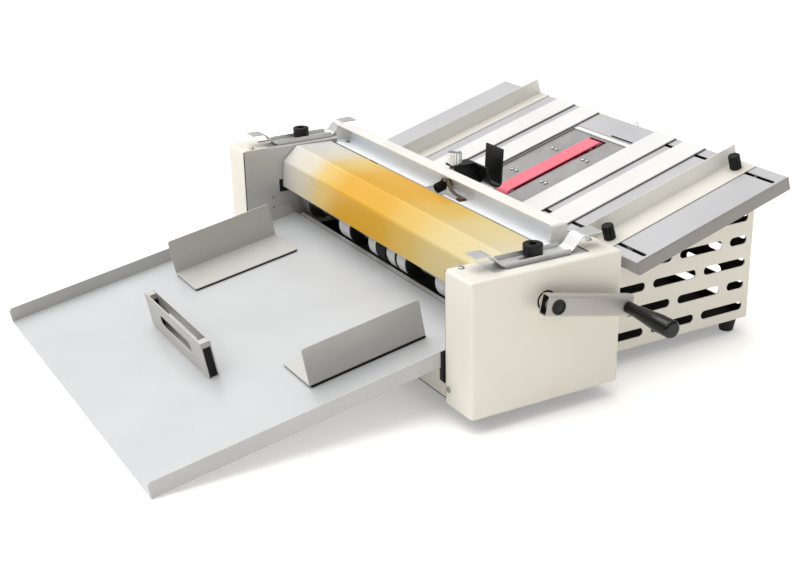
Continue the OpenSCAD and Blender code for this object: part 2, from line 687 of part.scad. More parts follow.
// Two slotted plates held apart by a block at each end
module back_stop() place() color(pale_grey) at_tray() {
  n0 = sheet + slide;
  for (t = [stop_t, stop_t + stop_d - sheet]) translate([stop_x, t + sheet, 0]) rotate([90, 0, 0])
    linear_extrude(height = sheet) difference() {
      round_rect(-stop_w / 2, stop_w / 2, n0, n0 + stop_h, 2);
      slot2d(-stop_w * 0.27, stop_w * 0.27, n0 + stop_h / 2, stop_h / 3);
    }
  for (m = [-1, 1]) translate([stop_x + m * (stop_w / 2 - stop_block / 2 - 2), 0, 0])
    box(-stop_block / 2, stop_block / 2, stop_t + sheet / 2, stop_t + stop_d - sheet / 2,
      n0 + stop_h - 9, n0 + stop_h - 1);
}
module stop_magnets() place() color(black) at_tray() for (m = [-1, 1])
  translate([stop_x + m * (stop_w / 2 - stop_block / 2 - 2), 0, sheet + slide])
    box(-stop_block / 2, stop_block / 2, stop_t + sheet, stop_t + stop_d - sheet, 0, stop_h - 9);

// ---------- tool shafts ----------
module ring_x(x, w, ro, ri, y, z) difference() {
  rod_x(x - w / 2, x + w / 2, y, z, ro);
  rod_x(x - w / 2 - 1, x + w / 2 + 1, y, z, ri);
}
module bearing_bushes() place() color(bright) for (s = [-1, 1], p = [[shaft_y, shaft_z], [low_y, low_z]])
  side(s) difference() {
    union() {
      rod_x(plate_x - bush_lip, cover_x + 3, p[0], p[1], bush_r);
      rod_x(plate_x - bush_lip, plate_x, p[0], p[1], bush_r + 3);
    }
    rod_x(plate_x - 9, cover_x + 9, p[0], p[1], shaft_r + run);
  }
module wheel_set(y, z) for (w = wheels) rod_x(w[0] - w[1] / 2, w[0] + w[1] / 2, y, z, wheel_r);
module upper_shaft() place() color(bright) difference() {
  union() {
    rod_x(-cover_x - 9, arm_x1 - arm_t, shaft_y, shaft_z, shaft_r);
    rod_x(-body_x, body_x, shaft_y, shaft_z, body_r);
    wheel_set(shaft_y, shaft_z);
  }
  rod_x(arm_x1 - 20, arm_x1 + 1, shaft_y, shaft_z, 4);
}
module lower_shaft() place() color(bright) {
  rod_x(-cover_x - 9, shaft_end, low_y, low_z, shaft_r);
  rod_x(-body_x, pulley_x - groove_w / 2, low_y, low_z, body_r);
  rod_x(pulley_x + groove_w / 2, body_x, low_y, low_z, body_r);
  rod_x(pulley_x - groove_w, pulley_x + groove_w, low_y, low_z, low_pulley_r);
  wheel_set(low_y, low_z);
}
module tyre_set(y, z) for (t = tyres) ring_x(t[0], t[1], tyre_r, body_r, y, z);
module collar_set(y, z) for (t = collars) ring_x(t[0], t[1], collar_r, body_r, y, z);
module upper_tyres() place() color(black) tyre_set(shaft_y, shaft_z);
module lower_tyres() place() color(black) tyre_set(low_y, low_z);
module upper_collars() place() color(white) collar_set(shaft_y, shaft_z);
module lower_collars() place() color(white) collar_set(low_y, low_z);

// Spur gear across X with stub teeth; rot turns the first tooth to an angle from +Y towards +Z
module gear(y, z, rot) translate([0, y, z]) rotate([rot, 0, 0]) along_x(gear_x, gear_x + gear_w)
  difference() {
    pr = drop / 2;
    backlash = 1.1;
    q = 90 / teeth - backlash;
    f = 20;
    ra = pr + 0.8 * drop / teeth;
    rf = pr - 1.05 * drop / teeth;
    wa = q - tan(f) * (ra - pr) / ra * 57.3;
    wf = q + tan(f) * (pr - rf) / rf * 57.3;
    polygon([for (i = [0 : teeth - 1]) for (c = [[rf, -wf], [pr, -q], [ra, -wa], [ra, wa], [pr, q], [rf, wf]])
      let (a = i * 360 / teeth + c[1]) c[0] * [cos(a), sin(a)]]);
    circle(r = shaft_r);
  }
module upper_gear() place() color(steel) gear(shaft_y, shaft_z, line_tilt - 90);
module lower_gear() place() color(steel) gear(low_y, low_z, line_tilt + 90 + 180 / teeth);

// ---------- crank ----------
// Rounded bar along the arm from y0 to y1; a margin m makes the space inside the tube
module arm_bar(y0, y1, m) translate([0, y1, 0]) rotate([90, 0, 0]) linear_extrude(height = y1 - y0)
  round_rect(arm_x0 + m, arm_x1 - m, arm_up - arm_h / 2 + m, arm_up + arm_h / 2 - m, 4 - m);
module crank_arm() place() color(bright) at_crank() difference() {
  union() {
    difference() {
      arm_bar(arm_ends[0], arm_ends[1], 0);
      arm_bar(arm_ends[0] - 1, arm_ends[1] - arm_t, arm_t);
    }
    rod_x(arm_x0 - 4, arm_x1 - arm_t, 0, 0, shaft_r + 2);
    rod_x(arm_x1 - arm_t, arm_x1 + grip_l - 8, crank_l, 0, pin_r);
  }
  rod_x(arm_x0 - 9, arm_x1 - arm_t, 0, 0, shaft_r);
  rod_x(arm_x1 - 9, arm_x1 + 9, 0, 0, 4);
}
module crank_screw() place() color(black) at_crank() {
  rod_x(arm_x1, arm_x1 + 2, 0, 0, 8.6);
  rod_x(arm_x1 - 16, arm_x1 + 1, 0, 0, 4);
}
// Tapered grip with a round end, turned about the pin's axis
module grip() place() color(black) at_crank() translate([arm_x1 + slide, crank_l, 0]) rotate([0, 90, 0])
  difference() {
    l = grip_l + 2 - slide;
    e = 7;
    union() {
      rotate_extrude() polygon([[0, 0], [grip_r - 4.5, 0], [grip_r - 4, 0.5], [grip_r - 3.9, l * 0.2],
        [grip_r - 0.6, l * 0.62], [grip_r, l * 0.74], [grip_r, l - e], [0, l - e]]);
      translate([0, 0, l - e]) intersection() {
        cylinder(h = e, r = grip_r);
        translate([0, 0, -1]) rotate_extrude() {
          square([grip_r - 4, e + 1]);
          translate([grip_r - 4, e - 3]) intersection() { circle(r = 4); translate([0, -4]) square(8); }
          square([grip_r, e - 3]);
        }
      }
    }
    translate([0, 0, -1]) cylinder(h = l - 8, r = pin_r + run);
  }

// ---------- hood ----------
module hood() place() color(amber) along_x(-hood_half, hood_half) band(hood_pts, hood_t);
module hood_lugs() place() color(black) for (s = [-1, 1]) side(s) difference() {
  top = hood_pts[3][1] + (hood_pts[3][1] - hood_pts[2][1]) / (hood_pts[3][0] - hood_pts[2][0])
    * (hinge_y - hood_pts[3][0]);
  along_x(hood_half - 1 - lug_t, hood_half - 1) difference() {
    union() {
      translate([hinge_y, hinge_z]) circle(r = 6);
      translate([hinge_y - 6, hinge_z]) square([12, 12]);
    }
    polygon([for (d = [[-20, 0], [20, 0], [20, 30], [-20, 30]])
      [hinge_y + d[0], top - hood_t * 1.001 + d[1] + d[0] * (hood_pts[3][1] - hood_pts[2][1])
        / (hood_pts[3][0] - hood_pts[2][0])]]);
  }
  rod_x(hood_half - 9, hood_half + 9, hinge_y, hinge_z, hinge_r + run);
}
module hood_pads() place() color(black) for (s = [-1, 1]) side(s)
  box(plate_x - hood_gap + slide, plate_x, hood_pts[0][0] - 5, hood_pts[0][0] + 14,
    hood_pts[0][1] - 9, hood_pts[0][1] + 11);

// ---------- latches ----------
latch_line = [[latch_ends[0], latch_top + latch_rise - latch_t],
  [latch_flat[0] - latch_ramp[0], latch_top + latch_rise - latch_t],
  [latch_flat[0], latch_top], [latch_flat[1], latch_top],
  [latch_flat[1] + latch_ramp[1], latch_top + latch_rise - latch_t],
  [latch_ends[1], latch_top + latch_rise - latch_t]];
module latch(s) side(s) difference() {
  union() {
    along_x(latch_x - latch_w / 2, latch_x + latch_w / 2) band(latch_line, latch_t);
    for (m = [-1, 1]) translate([latch_x + m * (latch_w / 2 - 0.75), 0, 0])
      box(-0.75, 0.75, latch_flat[0] + 2, latch_flat[1] - 2, latch_z, latch_z + 7);
  }
  for (d = [0, -latch_travel]) translate([latch_x, latch_y + d, latch_z - 1])
    cylinder(h = 9, r = stud_r + run);
  box(latch_x - stud_r - run, latch_x + stud_r + run, latch_y - latch_travel, latch_y,
    latch_z - 1, latch_z + 5);
}
module latch_left() place() color(bright) latch(-1);
module latch_right() place() color(bright) latch(1);
module latch_knob(s) side(s) translate([latch_x, latch_y, 0]) difference() {
  union() {
    translate([0, 0, latch_top + 3]) cylinder(h = 14.5, r = knob_r);
    translate([0, 0, latch_top + slide]) cylinder(h = 3, r = 8);
    translate([0, 0, flange_z - 5]) cylinder(h = 12, r = stud_r);
  }
  translate([0, 0, latch_top + 11]) cylinder(h = 9, r = 5.4, $fn = 6);
}
module latch_knob_left() place() color(black) latch_knob(-1);
module latch_knob_right() place() color(black) latch_knob(1);

// ---------- feed gate ----------
module gate_bracket() place() color(black) difference() {
  p = [for (q = gate_line) q + [bar_y + bar_d, gate_z + gate_t]];
  union() {
    along_x(gate_top[0], gate_top[1]) band([p[0], p[1], p[2]], gate_t);
    along_x(gate_tall[0], gate_tall[1]) band([for (i = [1 : len(p) - 1]) p[i]], gate_t);
    along_x(gate_top[1] - cheek_t, gate_top[1]) polygon([p[0], p[1], p[2] + [-1, 1], p[2] + [-7, -2],
      p[0] + [15, -cheek_h], p[0] - [0, cheek_h]]);
    translate([gate_pin_x, gate_y, gate_z - 14]) cylinder(h = 15, r = gate_pin_r);
  }
  translate([gate_x, gate_y, gate_z - 1]) cylinder(h = gate_t + 2, r = gate_stud_r + run);
}
module gate_knob() place() color(bright) translate([gate_x, gate_y, gate_z + gate_t + slide]) {
  cylinder(h = 3, r = 7);
  translate([0, 0, 2]) cylinder(h = 16, r = 9.6);
  for (a = [0 : 24 : 336]) rotate(a) translate([9.6, 0, 3]) cylinder(h = 14, r = 1);
  translate([0, 0, -17]) cylinder(h = 18, r = gate_stud_r);
}
module lock_knob() place() color(black) at_lock() {
  translate([0, 0, 10]) cylinder(h = 14, r = 6.6);
  for (a = [0 : 30 : 330]) rotate(a) translate([6.6, 0, 11]) cylinder(h = 12, r = 0.7);
  translate([0, 0, 1.5]) cylinder(h = 9, r = 4);
  translate([0, 0, -4.5]) cylinder(h = 6.5, r = 3);
}

floor_plate();
base_side_left();
base_side_right();
base_rear();
base_front();
rubber_feet();
side_frame_left();
side_frame_right();
side_cover_left();
side_cover_right();
pan_screws();
frame_bolts();
tie_rod();
crossbar();
infeed_table();
recess_pan();
plate_screws();
feed_belt();
glide_strips();
far_fence();
infeed_guide();
output_tray();
tray_rail();
tray_hooks();
bearing_bushes();
hood_pads();
table_eye();
roller_brackets();
drive_belt();
upper_shaft();
upper_tyres();
upper_collars();
upper_gear();
crank_arm();
crank_screw();
grip();
lower_shaft();
lower_tyres();
lower_collars();
lower_gear();
feed_roller();
idler_roller();
hood();
hood_lugs();
latch_left();
latch_right();
latch_knob_left();
latch_knob_right();
side_fence();
fence_knob_front();
fence_knob_rear();
gate_bracket();
gate_knob();
lock_knob();
guide_left();
guide_right();
guide_magnet_left();
guide_magnet_right();
back_stop();
stop_magnets();
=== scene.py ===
# %% [markdown]
# # A hand-cranked paper creasing machine
#
# The machine arrives as a packed engineering model: every sheet-metal part, shaft and
# screw at its real size, in metres, with the desk at z = 0. This script leaves those
# sizes alone and gives each piece its finish: soft folded edges, paint, rubber, plastic.
# X runs across the machine (+X is the crank side), Y along the paper, Z up.

# %% Load the machine
import json
import math

import bmesh
import bpy
from mathutils import Matrix, Quaternion, Vector

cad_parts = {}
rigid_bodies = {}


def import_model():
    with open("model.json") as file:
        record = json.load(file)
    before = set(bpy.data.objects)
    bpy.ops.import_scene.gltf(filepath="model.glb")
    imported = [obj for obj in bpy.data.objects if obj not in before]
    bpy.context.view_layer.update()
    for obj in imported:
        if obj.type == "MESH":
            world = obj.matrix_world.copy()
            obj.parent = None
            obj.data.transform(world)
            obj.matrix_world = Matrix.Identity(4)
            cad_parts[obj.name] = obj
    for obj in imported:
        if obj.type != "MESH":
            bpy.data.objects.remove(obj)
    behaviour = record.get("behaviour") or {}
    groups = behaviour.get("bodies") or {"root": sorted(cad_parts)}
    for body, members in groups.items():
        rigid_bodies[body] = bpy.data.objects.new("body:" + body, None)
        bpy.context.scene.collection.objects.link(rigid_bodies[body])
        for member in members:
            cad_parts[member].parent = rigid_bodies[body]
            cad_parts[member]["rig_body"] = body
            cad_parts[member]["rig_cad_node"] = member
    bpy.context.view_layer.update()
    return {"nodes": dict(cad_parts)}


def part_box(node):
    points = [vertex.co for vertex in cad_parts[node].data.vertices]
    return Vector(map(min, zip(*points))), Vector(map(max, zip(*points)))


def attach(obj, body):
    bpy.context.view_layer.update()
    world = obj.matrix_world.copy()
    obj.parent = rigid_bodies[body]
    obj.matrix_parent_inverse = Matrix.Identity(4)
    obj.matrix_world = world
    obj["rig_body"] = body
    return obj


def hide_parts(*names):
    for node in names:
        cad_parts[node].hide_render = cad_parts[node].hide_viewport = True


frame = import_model()
MM = 0.001
X, Y, Z = Vector((1, 0, 0)), Vector((0, 1, 0)), Vector((0, 0, 1))

# %% [markdown]
# ## Camera
# The photograph was taken from the front right, a little above the machine, with a
# fairly long lens. Its place was worked out once from straight edges of known length,
# so the camera is simply put there: a direction to look in, a small roll, a lens.

# %% Camera
CAMERA_PLACE = Vector((1.5251, -0.8448, 0.7685))
CAMERA_LOOK = Vector((-0.81347, 0.45231, -0.36562))
CAMERA_ROLL = math.radians(-1.183)
CAMERA_LENS, SENSOR = 61.07, 36  # mm

camera_data = bpy.data.cameras.new("photo_camera")
camera_data.lens = CAMERA_LENS
camera_data.sensor_width = SENSOR
camera_data.sensor_fit = "HORIZONTAL"
camera = bpy.data.objects.new("photo_camera", camera_data)
camera.location = CAMERA_PLACE
camera.rotation_mode = "QUATERNION"
camera.rotation_quaternion = (CAMERA_LOOK.to_track_quat("-Z", "Y")
                              @ Quaternion(Z, CAMERA_ROLL))
bpy.context.scene.collection.objects.link(camera)
bpy.context.scene.camera = camera
print("camera looks along", [round(v, 3) for v in CAMERA_LOOK])

# %% [markdown]
# ## Helpers for modelling
# Blender's operators act on whatever is selected, as a person's clicks would. So one
# helper empties the selection, one selects given pieces, and one picks points, edges or
# faces by a test. The others finish a step: they put a piece's turn into its mesh, apply
# a modifier, turn the faces outwards, shade the piece smoothly and give it its name.

# %% Helpers: selection
SMOOTH_BEND = math.radians(32)  # gentler bends are shaded as one surface


def start_clean():
    if bpy.context.mode != "OBJECT":
        bpy.ops.object.mode_set(mode="OBJECT")
    bpy.ops.object.select_all(action="DESELECT")


def only(*pieces):
    start_clean()
    for piece in pieces:
        piece.select_set(True)
    bpy.context.view_layer.objects.active = pieces[0]


def pick(piece, kind, test):
    """Goes into edit mode and selects the VERT, EDGE or FACE elements that pass the test."""
    only(piece)
    bpy.ops.object.mode_set(mode="EDIT")
    bpy.ops.mesh.select_mode(type=kind)
    bpy.ops.mesh.select_all(action="DESELECT")
    mesh = bmesh.from_edit_mesh(piece.data)
    group = {"VERT": mesh.verts, "EDGE": mesh.edges, "FACE": mesh.faces}[kind]
    chosen = [element for element in group if test(element)]
    for element in chosen:
        element.select_set(True)
    mesh.select_flush_mode()
    bmesh.update_edit_mesh(piece.data)
    return len(chosen)


def settle(piece):
    """Puts the piece's place, turn and size into its mesh."""
    only(piece)
    bpy.ops.object.transform_apply(location=True, rotation=True, scale=True)
    return piece


def modify(piece, kind, **values):
    """Adds a modifier, sets it and applies it at once."""
    only(piece)
    modifier = piece.modifiers.new(kind.lower(), kind)
    for name, value in values.items():
        setattr(modifier, name, value)
    bpy.ops.object.modifier_apply(modifier=modifier.name)


def outward(piece):
    """Merges doubled points and turns every face outwards."""
    only(piece)
    bpy.ops.object.mode_set(mode="EDIT")
    bpy.ops.mesh.select_all(action="SELECT")
    bpy.ops.mesh.remove_doubles(threshold=1e-6)
    bpy.ops.mesh.normals_make_consistent(inside=False)
    bpy.ops.object.mode_set(mode="OBJECT")


def smooth(piece):
    only(piece)
    bpy.ops.object.shade_smooth_by_angle(angle=SMOOTH_BEND, keep_sharp_edges=False)


def name_it(name):
    piece = bpy.context.active_object
    piece.name = name
    piece.data.name = name
    return piece


# %% [markdown]
# ## Places on the machine
# The maker's sizes count from the middle between the side plates, the covers' front
# faces and the desk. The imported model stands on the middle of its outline, so one step
# leads from the first to the second. The table and the tray slope, and pieces on them
# are easiest to place in their own frames: across, up the slope, off the surface. The
# crank's frame has its origin on the shaft and lies along the drooping arm.

# %% Places
STEP_ASIDE = Vector((-54.5, -71.8055, 0)) * MM
SHAFT_Y, SHAFT_Z, ARM_SLOPE = 105.2, 154.6, -12.3
TABLE_Y, TABLE_Z, TABLE_SLOPE = 259.5, 163.74, 16
TRAY_Y, TRAY_SLOPE = -379.378, 10.3326


def slope(y, z, degrees):
    return Matrix.Translation(Vector((0, y, z)) * MM + STEP_ASIDE) @ Matrix.Rotation(
        math.radians(degrees), 4, "X")


DESK = slope(0, 0, 0)
CRANK = slope(SHAFT_Y, SHAFT_Z, ARM_SLOPE)
TABLE = slope(TABLE_Y, TABLE_Z, TABLE_SLOPE)
TRAY = slope(TRAY_Y, 0, TRAY_SLOPE)
UP_TABLE = TABLE.to_3x3() @ Z


def spot(base, x, y, z):
    """World point of a place in mm in the given frame."""
    return base @ (Vector((x, y, z)) * MM)


def seen(base, point):
    """A world point in mm as seen from the given frame."""
    return (base.inverted() @ point) / MM


def near(value, target, slack=0.1):
    return abs(value - target) < slack


print("table front edge", [round(v, 4) for v in spot(TABLE, 0, 0, 0)])

# %% [markdown]
# ## Softening a imported part
# Real sheet metal has no knife edges: each cut edge is broken by the paint, and each
# fold has a radius of one or two sheet thicknesses. A copy of the imported part is
# merged, its flat triangles are dissolved into whole faces, the folds get their wide
# radius first and every other edge a narrow one. The copy then stands for the part.
# Some parts get a second tone of painted light or shade: a test on the faces decides where it goes.

# %% Helpers: soften
FOLD_BEND, EDGE_BEND, FLAT_BEND = math.radians(14), math.radians(35), math.radians(0.4)


def is_fold(edge, base, axis, test):
    """True for a bent edge along an axis of the given frame whose middle passes the test."""
    if len(edge.link_faces) != 2 or edge.calc_face_angle(0) < FOLD_BEND:
        return False
    a, b = (seen(base, v.co) for v in edge.verts)
    along = (b - a).normalized()
    return abs(along["XYZ".index(axis)]) > 0.999 and test((a + b) / 2)


def round_folds(piece, folds):
    """Each fold is (frame, axis, test, radius in mm)."""
    for base, axis, test, radius in folds:
        if pick(piece, "EDGE", lambda e: is_fold(e, base, axis, test)):
            bpy.ops.mesh.bevel(offset=radius * MM, segments=5, affect="EDGES",
                               clamp_overlap=False, loop_slide=False)
        bpy.ops.object.mode_set(mode="OBJECT")


def merged_copy(node):
    only(frame["nodes"][node])
    bpy.ops.object.duplicate()
    piece = name_it("finished_" + node)
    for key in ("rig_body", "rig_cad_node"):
        del piece[key]
    piece.parent = None
    piece.data.materials.clear()
    only(piece)
    bpy.ops.object.mode_set(mode="EDIT")
    bpy.ops.mesh.select_all(action="SELECT")
    bpy.ops.mesh.remove_doubles(threshold=2e-6)
    bpy.ops.mesh.dissolve_limited(angle_limit=FLAT_BEND, delimit={"NORMAL"})
    bpy.ops.object.mode_set(mode="OBJECT")
    return piece


def break_edges(piece, width, steps=2):
    modify(piece, "BEVEL", width=width * MM, segments=steps, limit_method="ANGLE",
           angle_limit=EDGE_BEND, use_clamp_overlap=False, loop_slide=False)
    return piece


def body_of_node(node):
    return frame["nodes"][node]["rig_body"]


def dress(piece, finish, body, *nodes):
    """Gives a finished piece its material and its body, and hides what it stands for."""
    smooth(piece)
    modify(piece, "WEIGHTED_NORMAL", weight=100, keep_sharp=True)
    piece.data.materials.clear()
    piece.data.materials.append(finish)
    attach(piece, body)
    if nodes:
        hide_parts(*nodes)
    return piece


def soften(node, finish, width=0.35, folds=(), steps=2):
    piece = merged_copy(node)
    round_folds(piece, folds)
    break_edges(piece, width, steps)
    return dress(piece, finish, body_of_node(node), node)


def paint_light_or_shade(piece, finish, test):
    """A second tone of painted light or shade for the faces whose middle in mm and whose normal
    pass the test.
    """
    piece.data.materials.append(finish)
    pick(piece, "FACE", lambda f: test(seen(DESK, f.calc_center_median()), f.normal))
    piece.active_material_index = 1
    bpy.ops.object.material_slot_assign()
    bpy.ops.object.mode_set(mode="OBJECT")


# %% [markdown]
# ## Making new pieces
# Turned pieces start as one filled circle that is pushed along its axis and opened or
# closed ring by ring, as a lathe would; flutes are rows of points drawn inwards. Bars
# and blocks start as a cube at its real size. Bent strips start as one flat plane: its
# end is pushed on from bend to bend, the bends are rounded, and the sheet gets its
# thickness last. A cutter is a piece like any other, taken away from its target.

# %% Helpers: make
SPINDLE = 4 * MM  # nothing this thin has flutes


def in_groove(point, sides):
    """True for two of every four points round a fluted piece."""
    return round(math.atan2(point.y, point.x) / math.tau * sides) % 4 < 2


def turned(name, rings, place=Vector(), axis=Z, sides=48, flutes=None):
    """rings: (distance along the axis, radius) in mm, from one end to the other.
    flutes: (lowest, highest, share of the radius left) of the grooves in a knob's side."""
    start_clean()
    start, radius = rings[0]
    bpy.ops.mesh.primitive_circle_add(vertices=sides, radius=radius * MM, fill_type="NGON",
                                      location=(0, 0, start * MM))
    piece = name_it(name)
    only(piece)
    bpy.ops.object.transform_apply(location=True, rotation=False, scale=False)
    bpy.ops.object.mode_set(mode="EDIT")
    bpy.ops.mesh.select_all(action="SELECT")
    for (d0, r0), (d1, r1) in zip(rings, rings[1:]):
        bpy.ops.mesh.extrude_region_move(
            TRANSFORM_OT_translate={"value": (0, 0, (d1 - d0) * MM)})
        if r1 != r0:
            bpy.ops.transform.resize(value=(r1 / r0, r1 / r0, 1),
                                     center_override=(0, 0, d1 * MM))
    bpy.ops.object.mode_set(mode="OBJECT")
    if flutes:
        low, high, left = flutes
        pick(piece, "VERT", lambda v: low <= v.co.z / MM <= high
             and v.co.xy.length > SPINDLE and in_groove(v.co, sides))
        bpy.ops.transform.resize(value=(left, left, 1), center_override=(0, 0, 0))
        bpy.ops.object.mode_set(mode="OBJECT")
    piece.rotation_mode = "QUATERNION"
    piece.rotation_quaternion = axis.to_track_quat("Z", "Y")
    piece.location = place
    settle(piece)
    outward(piece)
    return piece


def bar(name, base, low, high):
    """A block between two corners in mm, in the given frame."""
    start_clean()
    low, high = Vector(low), Vector(high)
    bpy.ops.mesh.primitive_cube_add(size=1)
    piece = name_it(name)
    piece.scale = (high - low) * MM
    piece.rotation_euler = base.to_euler()
    piece.location = spot(base, *((low + high) / 2))
    return settle(piece)


def bent_strip(name, base, line, low, high, thick, radius):
    """A strip of sheet from low to high in X, bent along (y, z) points in mm. A positive
    thickness lies to the left of the line's way, a negative one to the right."""
    start_clean()
    (y0, z0), (y1, z1) = line[:2]
    bpy.ops.mesh.primitive_plane_add(size=1)
    piece = name_it(name)
    piece.scale = Vector((high - low, math.hypot(y1 - y0, z1 - z0), 1)) * MM
    piece.rotation_euler = (math.atan2(z1 - z0, y1 - y0), 0, 0)
    piece.location = Vector((low + high, y0 + y1, z0 + z1)) / 2 * MM
    settle(piece)
    pick(piece, "EDGE", lambda e: all(
        abs(v.co.y - y1 * MM) + abs(v.co.z - z1 * MM) < 1e-6 for v in e.verts))
    for (y0, z0), (y1, z1) in zip(line[1:], line[2:]):
        bpy.ops.mesh.extrude_region_move(
            TRANSFORM_OT_translate={"value": (0, (y1 - y0) * MM, (z1 - z0) * MM)})
    bpy.ops.object.mode_set(mode="OBJECT")
    if pick(piece, "EDGE", lambda e: len(e.link_faces) == 2):
        bpy.ops.mesh.bevel(offset=radius * MM, segments=6, affect="EDGES", loop_slide=False)
    bpy.ops.object.mode_set(mode="OBJECT")
    modify(piece, "SOLIDIFY", thickness=abs(thick) * MM, offset=math.copysign(1, thick),
           use_even_offset=True)
    piece.rotation_mode = "QUATERNION"
    piece.location, piece.rotation_quaternion = base.translation, base.to_quaternion()
    settle(piece)
    outward(piece)
    return piece


def join(name, pieces):
    only(*pieces)
    if len(pieces) > 1:
        bpy.ops.object.join()
    return name_it(name)


# %% [markdown]
# ### Cutting
# A saw cut takes off all that lies beyond a plane. Holes, slots and sockets are cut by
# taking another piece away. A cross recess is cut with two thin bars, all turned by the
# same small angle.

# %% Helpers: cut
CROSS_WIDE, CROSS_TURN = 0.55, 20  # mm and degrees


def cut_corner(piece, base, through, away):
    """Saws off what lies beyond a plane given by a point in mm and a direction."""
    only(piece)
    bpy.ops.object.mode_set(mode="EDIT")
    bpy.ops.mesh.select_all(action="SELECT")
    bpy.ops.mesh.bisect(plane_co=spot(base, *through), plane_no=base.to_3x3() @ Vector(away),
                        clear_outer=True, use_fill=True)
    bpy.ops.object.mode_set(mode="OBJECT")
    return piece


def cut_away(piece, cutter):
    modify(piece, "BOOLEAN", operation="DIFFERENCE", solver="EXACT", use_self=True,
           object=cutter)
    bpy.data.objects.remove(cutter, do_unlink=True)
    return piece


def hexagon(place, axis, across, depth):
    """Cutter for a hexagon socket, centred on its mouth."""
    corner = across / math.sqrt(3)
    return turned("hexagon", [(-depth, corner), (depth, corner)], place, axis, sides=6)


def cross(spots, size, depth):
    """Cutter for cross recesses: spots are (place of the head's top, axis)."""
    arms = []
    for place, axis in spots:
        for turn in (CROSS_TURN, CROSS_TURN + 90):
            start_clean()
            bpy.ops.mesh.primitive_cube_add(size=1)
            arm = name_it("cross_arm")
            arm.scale = Vector((size, CROSS_WIDE, 2 * depth)) * MM
            arm.rotation_mode = "QUATERNION"
            arm.rotation_quaternion = (axis.to_track_quat("Z", "Y")
                                       @ Quaternion(Z, math.radians(turn)))
            arm.location = place
            arms.append(settle(arm))
    return join("crosses", arms)


# %% [markdown]
# ## Materials
# One recipe serves most finishes. Two noise patterns in object space, one coarse and
# one fine, move the colour a little between close tones, vary the roughness, and raise
# a shallow bump. What makes paint, rubber or steel differ is the scale of the fine
# pattern, how deep it is, and whether it is stretched into streaks.

# %% Helpers: surface
COARSE_SHARE, FINE_SHARE = 0.65, 0.35
TONE_LOW, TONE_HIGH = 0.36, 0.64  # of the pattern, between the two tones
ROUGH_LOW, ROUGH_HIGH = 0.3, 0.7  # of the pattern, between the two roughnesses


def add_node(tree, kind, values=None, **settings):
    """Adds a shader node with its settings and the values of its inputs."""
    node = tree.nodes.new("ShaderNode" + kind)
    for name, value in settings.items():
        setattr(node, name, value)
    for socket, value in (values or {}).items():
        node.inputs[socket].default_value = value
    return node


def wire(tree, source, output, target, socket):
    tree.links.new(source.outputs[output], target.inputs[socket])


def new_material(name):
    material = bpy.data.materials.new(name)
    material.use_nodes = True
    return material, material.node_tree, material.node_tree.nodes["Principled BSDF"]


def surface(name, tones, rough, grain=1200.0, depth=0.01, streak=(1, 1, 1), patch=9.0, **sockets):
    """tones: two colours; rough: lowest and highest roughness; depth of the bump in mm."""
    material, tree, shader = new_material(name)
    for socket, value in sockets.items():
        shader.inputs[socket.replace("_", " ")].default_value = value
    place = add_node(tree, "TexCoord")
    stretch = add_node(tree, "Mapping", {"Scale": streak})
    coarse = add_node(tree, "TexNoise", {"Scale": patch, "Detail": 4})
    fine = add_node(tree, "TexNoise", {"Scale": grain, "Detail": 3})
    share = add_node(tree, "Math", {1: COARSE_SHARE}, operation="MULTIPLY")
    blend = add_node(tree, "Math", {1: FINE_SHARE}, operation="MULTIPLY_ADD")
    ramp = add_node(tree, "ValToRGB")
    for stop, position, tone in zip(ramp.color_ramp.elements, (TONE_LOW, TONE_HIGH), tones):
        stop.position = position
        stop.color = (*tone, 1)
    polish = add_node(tree, "MapRange", {"From Min": ROUGH_LOW, "From Max": ROUGH_HIGH,
                                         "To Min": rough[0], "To Max": rough[1]})
    bump = add_node(tree, "Bump", {"Strength": 1.0, "Distance": depth * MM})
    wire(tree, place, "Object", stretch, "Vector")
    wire(tree, place, "Object", coarse, "Vector")
    wire(tree, stretch, "Vector", fine, "Vector")
    wire(tree, coarse, "Fac", share, 0)
    wire(tree, fine, "Fac", blend, 0)
    wire(tree, share, "Value", blend, 2)
    wire(tree, blend, "Value", ramp, "Fac")
    wire(tree, blend, "Value", polish, "Value")
    wire(tree, fine, "Fac", bump, "Height")
    wire(tree, ramp, "Color", shader, "Base Color")
    wire(tree, polish, "Result", shader, "Roughness")
    wire(tree, bump, "Normal", shader, "Normal")
    return material


def grey(value, warm=0.0):
    return (value + warm, value, value - warm)


# %% [markdown]
# ### Painted sheet metal
# The covers, base, fences and crossbar are powder coated in warm off-whites, the infeed
# table in mid grey and the output tray in a silvery pale grey. Powder coat flows before
# it sets, so its bump is a fine orange peel of a millimetre or so, a few hundredths of
# a millimetre deep at most. The darker tones of the table's and tray's side faces and the
# near-black inside tone are painted shade; the pale tones of the fence walls and of the
# crossbar's inside are painted light.

# %% Paints
SATIN, SMOOTH_SATIN = (0.34, 0.46), (0.30, 0.42)
TABLE_SATIN, ARM_SATIN = (0.36, 0.50), (0.32, 0.44)

